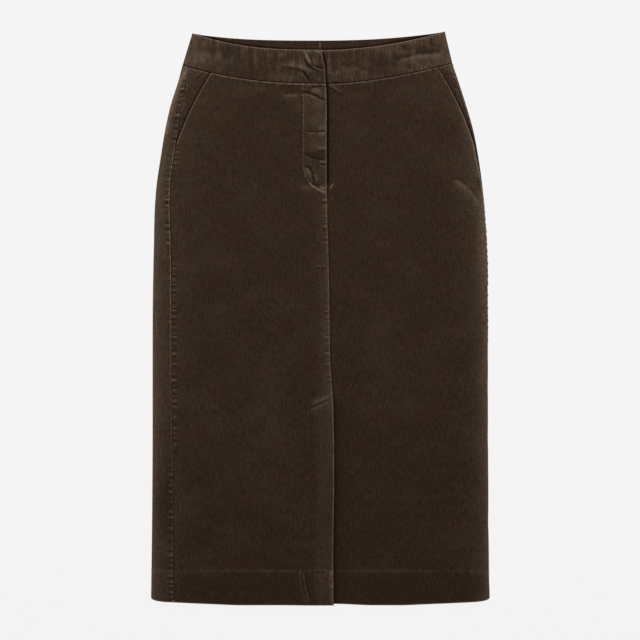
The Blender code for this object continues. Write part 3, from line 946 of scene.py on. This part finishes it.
def hem_ridge(x_mm, y_mm):
    """The hem's hidden stitches pull a faint uneven ridge, which fades downwards."""
    above = y_mm - HEM_STITCH_Y - 0.4 * wobble(x_mm, 9.0, 5.0)
    strength = 0.030 + 0.030 * hump(x_mm, 150.0)
    ridge = strength * (1 + 1.1 * wobble(x_mm, 5.5, 6.0)) * hump(above, 1.1)
    below = ease((2 - above) / 2) * np.exp(-np.maximum(-above, 0) / 6.0)
    return ridge + 0.08 * (1 + 0.7 * wobble(x_mm, 7.0, 7.0)) * below


def pulled(y):
    """How strongly the side seams pull: fully at the hip, and hardly towards the hem."""
    return between(0.35, 1.0, ease((y + 0.11) / 0.12))


def ticks(y_mm, stretches):
    """Short puckers across a seam, in the stretches of its length where it pulls that side."""
    pull = sum(ease((y_mm - low) / 14) * ease((high - y_mm) / 14) for low, high in stretches)
    wave = wobble(y_mm, 7.4, 5.0) * (0.8 + 0.5 * wobble(y_mm, 31.0, 12.5))
    return pull * np.maximum(wave, -0.6)


print("fly stitches end at", [round(float(c), 1) for c in fly_line()[-1]])

# %% The relief and tone of a front
WAIST_SEAM_CREST = {-1: 0.68, 1: 0.46}
SIDE_SEAM_CREST = {-1: 0.0, 1: 1.2}
NICK_Y = 43  # the right side seam is nipped in here


def front_relief(side, x, y, arc):
    """Fine relief of a front in mm: its edges, seams, stitches and creases."""
    x_mm, y_mm = x / MM, y / MM
    from_seam = (waist_edge("front_seam", x) - y) / MM
    from_outer = (arc - front_outer_arc(side, y)) / MM
    from_centre = past_centre(side, x, y)
    pocket = ease((y - POCKET_END_Y[side]) / 0.008)
    opened = openness(y)
    uneven = from_seam + 0.25 * wobble(x_mm, 7.0, 22.0)
    side_seam = seam_edge(from_outer, y_mm, 3.0 + side, 0.8, SIDE_SEAM_CREST[side])
    relief = seam_edge(uneven, x_mm, 1.0 + side, 0.0, WAIST_SEAM_CREST[side])
    relief += pocket * turned_edge(from_outer, 0.8, 0.9, 0.75)
    relief += (1 - pocket) * pulled(y) * side_seam
    relief += turned_edge((y - front_hem(side, arc)) / MM, 0.8, 0.9, 0.15)
    relief += hem_ridge(x_mm, y_mm)
    if side < 0:
        relief += 0.42 * ticks(y_mm, LEFT_SEAM_PULLS) * hump(from_outer - 3.0, 3.6)
        edge = np.maximum(from_centre, 0)
        away, way = from_line(x_mm, y_mm, fly_line())
        fly = along_fly(y, 2)
        relief += opened * turned_edge(edge, 1.0, 0.9, 0.58 + 0.16 * wobble(y_mm, 23.0, 4.0))
        relief += (1 - opened) * turned_edge(edge, 0.4, 0.9, 0.34) * (1 + 0.5 * wobble(y_mm, 9.0, 4.0))
        relief += (1 - opened) * 0.30 * ticks(y_mm, CENTRE_SEAM_PULLS) * hump(edge - 3.4, 3.0)
        relief -= fly * 0.48 * (1 + 0.8 * wobble(way, 5.5, 8.0)) * hump(away + 0.6, 0.8)
        relief += fly * 0.20 * (1 + 0.9 * wobble(way, 7.0, 8.5)) * hump(away - 1.0, 0.9)
        relief += 0.24 * hump(y_mm + 375, 20.0) * (wobble(y_mm, 9.8, 9.0) + 1.0) * hump(edge - 3.0, 2.6)
        relief += creases(x, y, FLY_CREASES)
    else:
        gap = 0.25 + 0.75 * ease((y_mm - 188) / 4) - 0.15 * along_slit(y)
        relief -= gap * hump(from_centre - 1.1, 1.2 + 0.5 * opened)
        relief += (1 - opened) * 0.12 * wobble(y_mm, 6.0, 10.0) * np.exp(-np.abs(from_centre) / 4.0)
        relief -= 0.9 * hump(y_mm - NICK_Y, 2.5) * hump(from_outer, 5.0)
    return relief + creases(x, y, FRONT_CREASES)


def front_tone(side, x, y, arc):
    """How much paler (to 1) or deeper (to -1) a front is painted, apart from its relief: painted highlights
    and shadows, and paler worn folds.
    """
    from_hem = y - front_hem(side, arc)
    beyond = np.maximum(past_centre(side, x, y), 0)
    tone = patches(x, y, FRONT_LIGHT_AND_SHADE) + fold_highlight_and_wear(side, x, y)
    tone += 0.12 * np.exp(-from_hem / 0.004)
    tone -= 0.05 * ease((HEM_DEPTH + 0.002 - from_hem) / 0.004)
    if side > 0:
        # painted shadows on the right front: in the gap beside the fly's edge, and cast by the lapped left
        # front along the slit
        tone -= 0.4 * along_fly(y) * np.exp(-beyond / 2.5)
        return tone - 0.64 * along_slit(y) * np.exp(-beyond / 7.0)
    away, _ = from_line(x / MM, y / MM, fly_line())
    panel = 0.03 * ease(away / 2.0) + 0.15 * ease(away / 22.0)
    tone += panel * along_fly(y, 2) * (1 + 0.4 * wobble(y / MM, 31.0, 21.0))
    # painted highlight on the left front where its lap is raised: along the centre seam and beside the slit
    tone += between(0.27, 0.19, ease((y / MM - 10) / 80)) * (1 - openness(y)) * np.exp(-beyond / 10.0)
    tone += along_slit(y) * (0.08 * ease((30.0 - beyond) / 10.0) + 0.12 * np.exp(-beyond / 4.0))
    stitched_corner = hump(y / MM + 357, 4.0) * hump(beyond - 3.0, 3.0)
    return tone + 0.35 * stitched_corner


edge_x = level(0.25, "centre") - 0.9 * MM
spot = (-1, edge_x, 0.25, arc_at(-1, edge_x, 0.25))
print(f"on the fly's edge: relief {front_relief(*spot):.2f} mm, tone {front_tone(*spot):.2f}")

# %% Cut and lay the fronts
FRONT_BREADTH, PANEL_LENGTH = 0.238, 0.752
FRONT_COLUMNS = {  # how far along, and how far apart the columns are there
    -1: [
        (0, 0.0004), (0.004, 0.0006), (0.010, 0.0014), (0.030, 0.0060), (0.175, 0.0060),
        (0.186, 0.0008), (0.204, 0.0008), (0.208, 0.0013), (0.232, 0.0010), (0.238, 0.0004),
    ],
    1: [
        (0, 0.0004), (0.004, 0.0006), (0.010, 0.0014), (0.030, 0.0050),
        (0.190, 0.0050), (0.212, 0.0012), (0.224, 0.0005), (0.238, 0.0010),
    ],
}
FRONT_ROWS = [
    (0, 0.0004), (0.003, 0.0006), (0.008, 0.0013), (0.150, 0.0013), (0.165, 0.0020),
    (0.41, 0.0022), (0.425, 0.0014), (0.460, 0.0014), (0.475, 0.0026), (0.675, 0.0026),
    (0.69, 0.0013), (0.745, 0.0014), (0.75, 0.0005),
]
SHOWN_SHARE = {-1: 1.0, 1: 0.96}  # of a front's columns; the others lie under the lap


def front(side, finish):
    top_y = waist_edge("front_seam", POCKET_TOP[side])
    end_y = hem_edge(seam_arc(side, HEM_Y))
    shown = SHOWN_SHARE[side]

    def place(u, v):
        y = between(top_y, end_y, v)
        for _ in range(PASSES):
            centre = level(y, "centre")
            outer = front_outer_arc(side, y)
            inner = arc_at(side, centre, y)
            arc = between(outer, inner, way_along(u, 0, shown))
            if side > 0:
                hidden = arc_at(side, centre - underlap(y), y)
                arc = arc + (hidden - inner) * way_along(u, shown, 1)
            x, z = lay(side, arc, y)
            y = between(waist_edge("front_seam", x) - SEAM_GAP, front_hem(side, arc), v)
        z = z + centre_lift(x, y, side)
        return x, y, z, softness(x, y), front_relief(side, x, y, arc), front_tone(side, x, y, arc)

    def layers(u, v):
        x, y = place(u, v)[:2]
        near_centre = (side < 0) & (x > level(y, "centre") - 0.030)
        opening = (y > FLY_END_Y) | (y < SLIT_TOP_Y - 0.020)
        return np.where((y < HEM_Y + HEM_DEPTH) | (near_centre & opening), 1.0, 0.5)

    columns = graded(FRONT_BREADTH, FRONT_COLUMNS[side])
    if side > 0:
        columns = np.concatenate([columns[:-1] * shown, np.linspace(shown, 1, 12)])
    name = SIDE_NAMES[side] + "_front"
    return cloth(name, columns, graded(PANEL_LENGTH, FRONT_ROWS), place, finish, 2 * CLOTH, layers)


left_front = front(-1, needlecord)
right_front = front(1, needlecord)

# %% [markdown]
# ## The back
# The back is one panel, and its edges come round both rolls to the side seams. It lies flat on the
# surface below, so its relief is kept to the parts that turn up, and to its seams and hem.

# %% Cut and lay the back
TURN = 0.022  # length of cloth kept for the underside of each roll
BACK_SHARES = (0.30, 0.70)
BACK_ROWS = [
    (0, 0.0006), (0.006, 0.0020), (0.19, 0.0020), (0.21, 0.0030),
    (0.68, 0.0030), (0.69, 0.0015), (0.75, 0.0007),
]
BACK_CREASES = [
    (1.8, 0.75, 0, 0, [(-181, 352.5), (-194.5, 337.1), (-201.5, 316.1), (-211.3, 289.5), (-215.5, 257.3)]),
]
UNDER_CREASES = [
    (7.0, 0, 0.7, 0, [(-128, 252), (-66, 238), (12, 244)]),
    (6.0, 0, 0.5, 0, [(172, 196), (118, 184), (64, 190)]),
    (6.5, 0, 0.6, 0, [(-176, -52), (-104, -66), (-40, -58)]),
    (6.0, 0, 0.5, 0, [(48, -236), (122, -226), (186, -240)]),
]


def back_relief(x, y, arc):
    """Fine relief of the back in mm. On the underside it only presses inwards."""
    x_mm, y_mm = x / MM, y / MM
    seam = np.where(x < 0, seam_arc(-1, y), seam_arc(1, y))
    edge = np.maximum((seam - arc) / MM, 0)
    upper = ease(arc / 0.004)
    pocket = ease((y - 0.235) / 0.015)
    below = (tube_edge("seam", arc > 0, x) - y) / MM
    ridge = np.where(x < 0, 0.5, 0.35) * (1 - 0.7 * pocket)
    puckers = ticks(y_mm, BACK_SEAM_PULLS) * hump(edge - 2.8, 3.6)
    relief = pulled(y) * ease(below / 4.0) * seam_edge(edge, y_mm, 11.0, 0.1, ridge, 0.7)
    relief += np.where(x < 0, 0.44, 0.0) * upper * puckers
    relief += upper * creases(x, y, BACK_CREASES)
    relief += hem_ridge(x_mm, y_mm) * np.where(arc > 0, 1.0, -1.0)
    relief += turned_edge((y - hem_edge(arc)) / MM, 0.7, 0.9, 0.15)
    relief += seam_edge(below, x_mm, 13.0, 0.1, 0.4)
    relief += np.where(arc < 0, creases(x, y, UNDER_CREASES), 0.0)
    return np.where(upper > 0, relief, np.minimum(relief, 0.0))


def back(finish):
    left_end, right_start = BACK_SHARES

    def place(u, v):
        y = between(0.35, HEM_Y, v)
        for _ in range(PASSES):
            from_left = between(seam_arc(-1, y) - SEAM_GAP / 2, -TURN, way_along(u, 0, left_end))
            from_right = between(-TURN, seam_arc(1, y) - SEAM_GAP / 2, way_along(u, right_start, 1))
            left_x, left_z = lay(-1, from_left, y)
            right_x, right_z = lay(1, from_right, y)
            share = way_along(u, left_end, right_start)
            x = np.where(u < right_start, between(left_x, right_x, share), right_x)
            z = np.where(u < right_start, left_z, right_z)
            inside = np.minimum(x - outline(-1, y), outline(1, y) - x)
            arc = np.where(u < left_end, from_left, np.where(u > right_start, from_right, -inside))
            above = (arc > 0) & ((u < left_end) | (u > right_start))
            y = between(tube_edge("seam", above, x) - SEAM_GAP, hem_edge(arc), v)
        broad = softness(x, y) * ease(arc / 0.01)
        left_tone = fold_highlight_and_wear(-1, x, y) - 0.10 * hump(y / MM + 270, 60) - 0.09 * hump(y / MM - 300, 55)
        # painted shade where the back shows in the gap at the right side, near the pocket
        right_tone = fold_highlight_and_wear(1, x, y) - 1.1 * hump(y / MM - 222, 42)
        return x, y, z, broad, back_relief(x, y, arc), np.where(x < 0, left_tone, right_tone)

    def layers(u, v):
        return np.where(place(u, v)[1] < HEM_Y + HEM_DEPTH, 1.0, 0.5)

    left = graded(0.055, [(0, 0.0005), (0.006, 0.0010), (0.055, 0.0016)]) * left_end
    flat = np.linspace(left_end, right_start, 60)[1:-1]
    from_end = graded(0.030, [(0, 0.0005), (0.006, 0.0010), (0.03, 0.0014)])[::-1]
    columns = np.concatenate([left, flat, right_start + (1 - from_end) * 0.30])
    return cloth("back", columns, graded(PANEL_LENGTH, BACK_ROWS), place, finish, 2 * CLOTH, layers)


back_cloth = back(needlecord)

# %% [markdown]
# ## The waistband
# The band is two stiffened halves that meet at the centre back. Its top edge is a fold, and its
# left end laps over the right one. Where the left end has been bent back it keeps sharp creases.

# %% Cut and lay the waistband
BAND_SHARES = (0.0, 0.50, 0.56, 0.62)  # centre front, start of the roll, outermost line, end of the roll
BAND_ROLL = 0.012
BAND_WALL = 1.2 * BAND  # at the seam of the centre back, where it is thickest
CORNER = 4.0  # mm, how far the left end's corner is rounded
BAND_TONE = {-1: 0.0, 1: 0.03}
# painted highlight along the top edge of each band half
BAND_TOP_HIGHLIGHT = {-1: 0.20, 1: 0.32}


def band_relief(side, x, y, above):
    x_mm = x / MM
    from_top = (tube_edge("top", above, x) - y) / MM
    from_seam = (y - tube_edge("seam", above, x)) / MM
    seam = seam_edge(from_seam, x_mm, 15.0 + side, 0.9, 0.0)
    relief = seam + turned_edge(from_top, 0.9, 0.9, 0.65 + 0.2 * wobble(x_mm, 13.0, 14.0))
    relief += 0.08 * wobble(x_mm, 17.0, 16.0) * hump(from_top - 20, 16.0)
    relief += 0.10 * wobble(x_mm, 5.0, 17.0) * hump(from_top - 6, 6.0)
    relief += 0.10 * wobble(x_mm, 4.4, 18.0) * hump(from_seam - 4, 4.0)
    beside = past_centre(side, x, y)
    if side < 0:
        relief += turned_edge(np.maximum(beside, 0), 1.0, 0.9, 0.5)
        relief += creases(x, y, LEFT_BAND_CREASES)
    else:
        relief += creases(x, y, RIGHT_BAND_CREASES)
        relief -= 1.1 * ease((from_top - 2) / 4) * hump(beside - 0.9, 1.2)
    return np.where(above, relief, np.minimum(seam, 0))


def band_tone(side, x, y, above):
    """The band's outer face gets painted fold highlights in patches, painted shade in its seam and a
    painted highlight along its top, and its inner face at the back gets painted shade.
    """
    from_top = (waist_edge("front_top", x) - y) / MM
    from_seam = (y - waist_edge("front_seam", x)) / MM
    outer = BAND_TONE[side] + 0.6 * fold_highlight_and_wear(side, x, y) + patches(x, y, BAND_LIGHT_AND_SHADE)
    # painted shade in the waist seam's groove
    outer -= 0.6 * hump(from_seam - 0.4, 1.0)
    outer += BAND_TOP_HIGHLIGHT[side] * np.exp(-np.maximum(from_top, 0) / 3.5)
    # inner face at the back: painted shade, darkest in the shadow just above the front's top edge, with a
    # paler line at the centre back seam
    inner = 0.5 * hump(x / MM, 1.4) - 0.12 - 0.9 * hump(from_top + 1.2, 1.5)
    return np.where(above, outer, inner)


def waistband(side, finish):
    _, roll_start, outermost, roll_end = BAND_SHARES
    hidden = 0.0 if side < 0 else UNDERLAP

    def place(u, v):
        y = between(0.40, 0.35, v)
        above = u <= outermost
        for _ in range(PASSES):
            stops = [arc_at(side, level(y, "centre") - hidden, y), BAND_ROLL, 0.0, -BAND_ROLL]
            x, z = lay(side, through(u, BAND_SHARES, stops), y)
            x = between(x, 0.0, way_along(u, roll_end, 1))
            top = tube_edge("top", above, x)
            if side < 0:
                near = np.clip(1 - (level(y, "centre") - x) / (CORNER * MM), 0, 1)
                top = top - np.where(above, CORNER * MM * (1 - np.sqrt(1 - near**2)), 0)
            y = between(top, tube_edge("seam", above, x), v)
        z = z + np.where(above, centre_lift(x, y, side), 0)
        broad = np.where(above, softness(x, y), 0)
        return x, y, z, broad, band_relief(side, x, y, above), band_tone(side, x, y, above)

    def layers(u, v):
        x, y = place(u, v)[:2]
        from_top = np.maximum(waist_edge("back_top", x) - y, 0) / MM
        rounded = 0.45 + 0.38 * np.sqrt(np.clip(from_top / 1.8, 0, 1))
        lower = rounded + 0.17 * hump(x / MM, 1.4)
        return np.where(u <= roll_end, BAND / BAND_WALL, lower)

    upper = graded(0.185, [(0, 0.0006), (0.030, 0.0009), (0.060, 0.0012), (0.185, 0.0012)]) * roll_start
    roll = np.linspace(roll_start, roll_end, 26)
    from_seam = graded(0.17, [(0, 0.0007), (0.004, 0.0008), (0.010, 0.004), (0.17, 0.004)])[::-1]
    columns = np.concatenate([upper[:-1], roll[:-1], 1 - (1 - roll_end) * from_seam])
    rows = graded(0.045, [(0, 0.0005), (0.004, 0.0009), (0.040, 0.0009), (0.045, 0.0005)])
    name = SIDE_NAMES[side] + "_waistband"
    return cloth(name, columns, rows, place, finish, BAND_WALL, layers, fanned=True)


left_waistband = waistband(-1, waistband_cord)
right_waistband = waistband(1, waistband_cord)

# %% [markdown]
# ## Pocket facings and fly shield
# A slanted pocket shows a strip of cord behind its mouth, the facing, which is sewn into the side
# seam and lies just under the front. Behind the fly lies a narrow shield of the same cord.

# %% Cut and lay the facings
FACING_TUCK = 0.014  # it runs on under the front by this length
FACING_STEP = 0.006  # length over which it goes down from the seam
FACING_DEPTH = CLOTH + 0.0006
FACING_LEVEL = 0.85
FACING_END = 0.006  # it ends this far below the mouth
FACING_SHARES = (0.0, 0.2, 0.75, 1.0)


def facing(side, finish):
    end_y = POCKET_END_Y[side] - FACING_END

    def shown(y):
        return np.maximum(arc_at(side, mouth_x(side, y), y) - seam_arc(side, y), SEAM_GAP * 2)

    def place(u, v):
        y = between(0.355, end_y, v)
        for _ in range(PASSES):
            seam = seam_arc(side, y)
            step = np.minimum(FACING_STEP, shown(y) / 2)
            stops = [seam + SEAM_GAP / 2, seam + step, seam + shown(y), seam + shown(y) + FACING_TUCK]
            arc = through(u, FACING_SHARES, stops)
            x, z = lay(side, arc, y)
            y = between(waist_edge("front_seam", x) - SEAM_GAP, end_y, v)
        level_share = FACING_LEVEL * ease(shown(y) / (2 * FACING_STEP) - 0.3)
        depth = FACING_DEPTH * (1 - level_share * (1 - ease(u / FACING_SHARES[1])))
        seam_away = (arc - seam_arc(side, y)) / MM
        mouth_away = (arc - arc_at(side, mouth_x(side, y), y)) / MM
        from_top = (waist_edge("front_seam", x) - y) / MM
        seam = seam_edge(seam_away, y / MM, 17.0, 0.7, 0.2)
        fine = ease(from_top / 4.0) * seam + seam_edge(from_top, x / MM, 18.0, 0.0, 0.5)
        fine -= 0.7 * hump(mouth_away + 0.6, 1.0)
        fine += 0.15 * wobble(y / MM, 11.0, 19.0) * wobble(x / MM, 9.0, 20.0)
        shaded = 0.3 * np.exp(-np.maximum(-mouth_away, 0) / 6.0)
        return x, y, z, -depth / MM, fine, 0.4 * fold_highlight_and_wear(side, x, y) - shaded

    columns = graded(0.045, [(0, 0.0005), (0.005, 0.0012), (0.045, 0.0014)])
    rows = graded(0.115, [(0, 0.0005), (0.005, 0.0015), (0.115, 0.0016)])
    return cloth(SIDE_NAMES[side] + "_facing", columns, rows, place, finish)


left_facing = facing(-1, facing_cord)
right_facing = facing(1, facing_cord)

# %% Cut and lay the fly shield
SHIELD_WIDTH = 0.034  # to the left of the centre line
SHIELD_REACH = 0.010  # and to its right
SHIELD_TOP_Y = 0.3240
SHIELD_Z = 2 * CLOTH + 0.0003


def shield(finish):
    def place(u, v):
        y = between(SHIELD_TOP_Y, FLY_END_Y + 0.002, v)
        x = level(y, "centre") + between(-SHIELD_WIDTH, SHIELD_REACH, u)
        edge = np.minimum(u, 1 - u) * (SHIELD_WIDTH + SHIELD_REACH) / MM
        return x, y, SHIELD_Z + 0 * u, 0 * u, turned_edge(edge, 0.3, 1.2, 0.1), 0 * u

    return cloth("shield", np.linspace(0, 1, 34), np.linspace(0, 1, 90), place, finish)


fly_shield = shield(facing_cord)

# %% [markdown]
# ## Stitches
# A row of matching thread holds the fly. The pocket mouths and the hem are held from inside, so no
# thread shows there. A stitch is modelled once, as a short rod with rounded ends, and copied along
# the row, lying in the groove that it pulls.

# %% One stitch
STITCH = 2.4  # mm
THREAD = 0.42
STITCH_PITCH = 3.0
STITCH_LIFT = 0.12  # how far its middle stands above the cloth below it
THREAD_SIDES = 6
STITCH_RINGS = [  # how far along the stitch, how high in terms of the thread, and how thick
    (-0.5, -0.1575, 0.45),
    (-0.275, 0, 1),
    (0.275, 0, 1),
    (0.5, -0.1575, 0.45),
]


def stitch_shape():
    """One stitch along x, with thin ends that dip into the cloth."""
    shape = bmesh.new()
    angles = 2 * np.pi * np.arange(THREAD_SIDES) / THREAD_SIDES
    rings = []
    for along, height, thickness in STITCH_RINGS:
        wide = thickness * THREAD / 2 * np.cos(angles)
        high = thickness * THREAD / 2 * np.sin(angles) + height * THREAD
        rings.append([shape.verts.new((along * STITCH * MM, w * MM, h * MM)) for w, h in zip(wide, high)])
    for near, far in zip(rings, rings[1:]):
        for k in range(THREAD_SIDES):
            shape.faces.new((near[k - 1], near[k], far[k], far[k - 1]))
    shape.faces.new(rings[0][::-1])
    shape.faces.new(rings[-1])
    mesh = bpy.data.meshes.new("one_stitch")
    shape.to_mesh(mesh)
    shape.free()
    return mesh


one_stitch = stitch_shape()
print("faces of one stitch:", len(one_stitch.polygons))

# %% The fly's row of stitches


def row_of_stitches(name, ground, line):
    """Copies the stitch along a line of points in mm, on the ground piece below it."""
    line = np.array(line, float)
    gone = np.concatenate([[0], np.cumsum(np.hypot(*np.diff(line, axis=0).T))])
    count = int(gone[-1] // STITCH_PITCH)
    middles = (np.arange(count) + 0.5) * STITCH_PITCH
    row = bmesh.new()
    for middle in middles:
        here = [np.interp(middle, gone, line[:, k]) * MM for k in (0, 1)]
        ahead = [np.interp(middle + 1, gone, line[:, k]) * MM for k in (0, 1)]
        found, spot, _, _ = ground.ray_cast((here[0], here[1], 0.05), (0, 0, -1))
        found_ahead, spot_ahead, _, _ = ground.ray_cast((ahead[0], ahead[1], 0.05), (0, 0, -1))
        if not (found and found_ahead):
            continue
        along = (spot_ahead - spot).normalized()
        turn = along.to_track_quat("X", "Z")
        old = len(row.verts)
        row.from_mesh(one_stitch)
        row.verts.ensure_lookup_table()
        for vertex in row.verts[old:]:
            vertex.co = turn @ vertex.co + spot
            vertex.co.z += STITCH_LIFT * MM
    mesh = bpy.data.meshes.new(name)
    row.to_mesh(mesh)
    row.free()
    mesh.materials.append(sewing_thread)
    piece = bpy.data.objects.new(name, mesh)
    bpy.context.scene.collection.objects.link(piece)
    print(f"{name}: {count} stitches")
    return piece


fly_stitches = row_of_stitches("fly_stitches", left_front, fly_line())
bpy.data.meshes.remove(one_stitch)

# %% [markdown]
# ## What each piece stands for
# Every piece rides on the skirt's one body and stands for its CAD solid, which is hidden; its box
# is measured against that solid's. The table also lists each piece's slot, flat cut, area and what it rests
# on.

PIECE_COLUMNS = "piece node slot flat area rests_on".split()
PIECES = [
    (left_front, "front_left", "needlecord", (0.232, 0.746), 0.162, ["back"]),
    (right_front, "front_right", "needlecord", (0.259, 0.753), 0.173, ["back"]),
    (back_cloth, "back_panel", "needlecord", (0.512, 0.757), 0.367, []),
    (left_waistband, "waistband_left", "waistband_cord", (0.388, 0.072), 0.018, ["back"]),
    (right_waistband, "waistband_right", "waistband_cord", (0.391, 0.074), 0.018, ["back"]),
    (left_facing, "pocket_facing_left", "facing_cord", (0.063, 0.118), 0.0032, ["back"]),
    (right_facing, "pocket_facing_right", "facing_cord", (0.065, 0.119), 0.0026, ["back"]),
    (fly_shield, "fly_shield", "facing_cord", (0.045, 0.138), 0.0061, ["back"]),
]

for values in PIECES:
    row = dict(zip(PIECE_COLUMNS, values))
    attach(row["piece"], "root")
    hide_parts(row["node"])
    low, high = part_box(row["node"])
    mine = np.array([v.co for v in row["piece"].data.vertices])
    off = max(np.abs(mine.min(0) - np.array(low)).max(), np.abs(mine.max(0) - np.array(high)).max())
    print(f"{row['piece'].name}: its box is within {off / MM:.1f} mm of its CAD solid's")
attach(fly_stitches, "root")

# %% The box of all that is shown
low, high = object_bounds()
print("visual box in mm:", [round((b - a) / MM, 1) for a, b in zip(low, high)])
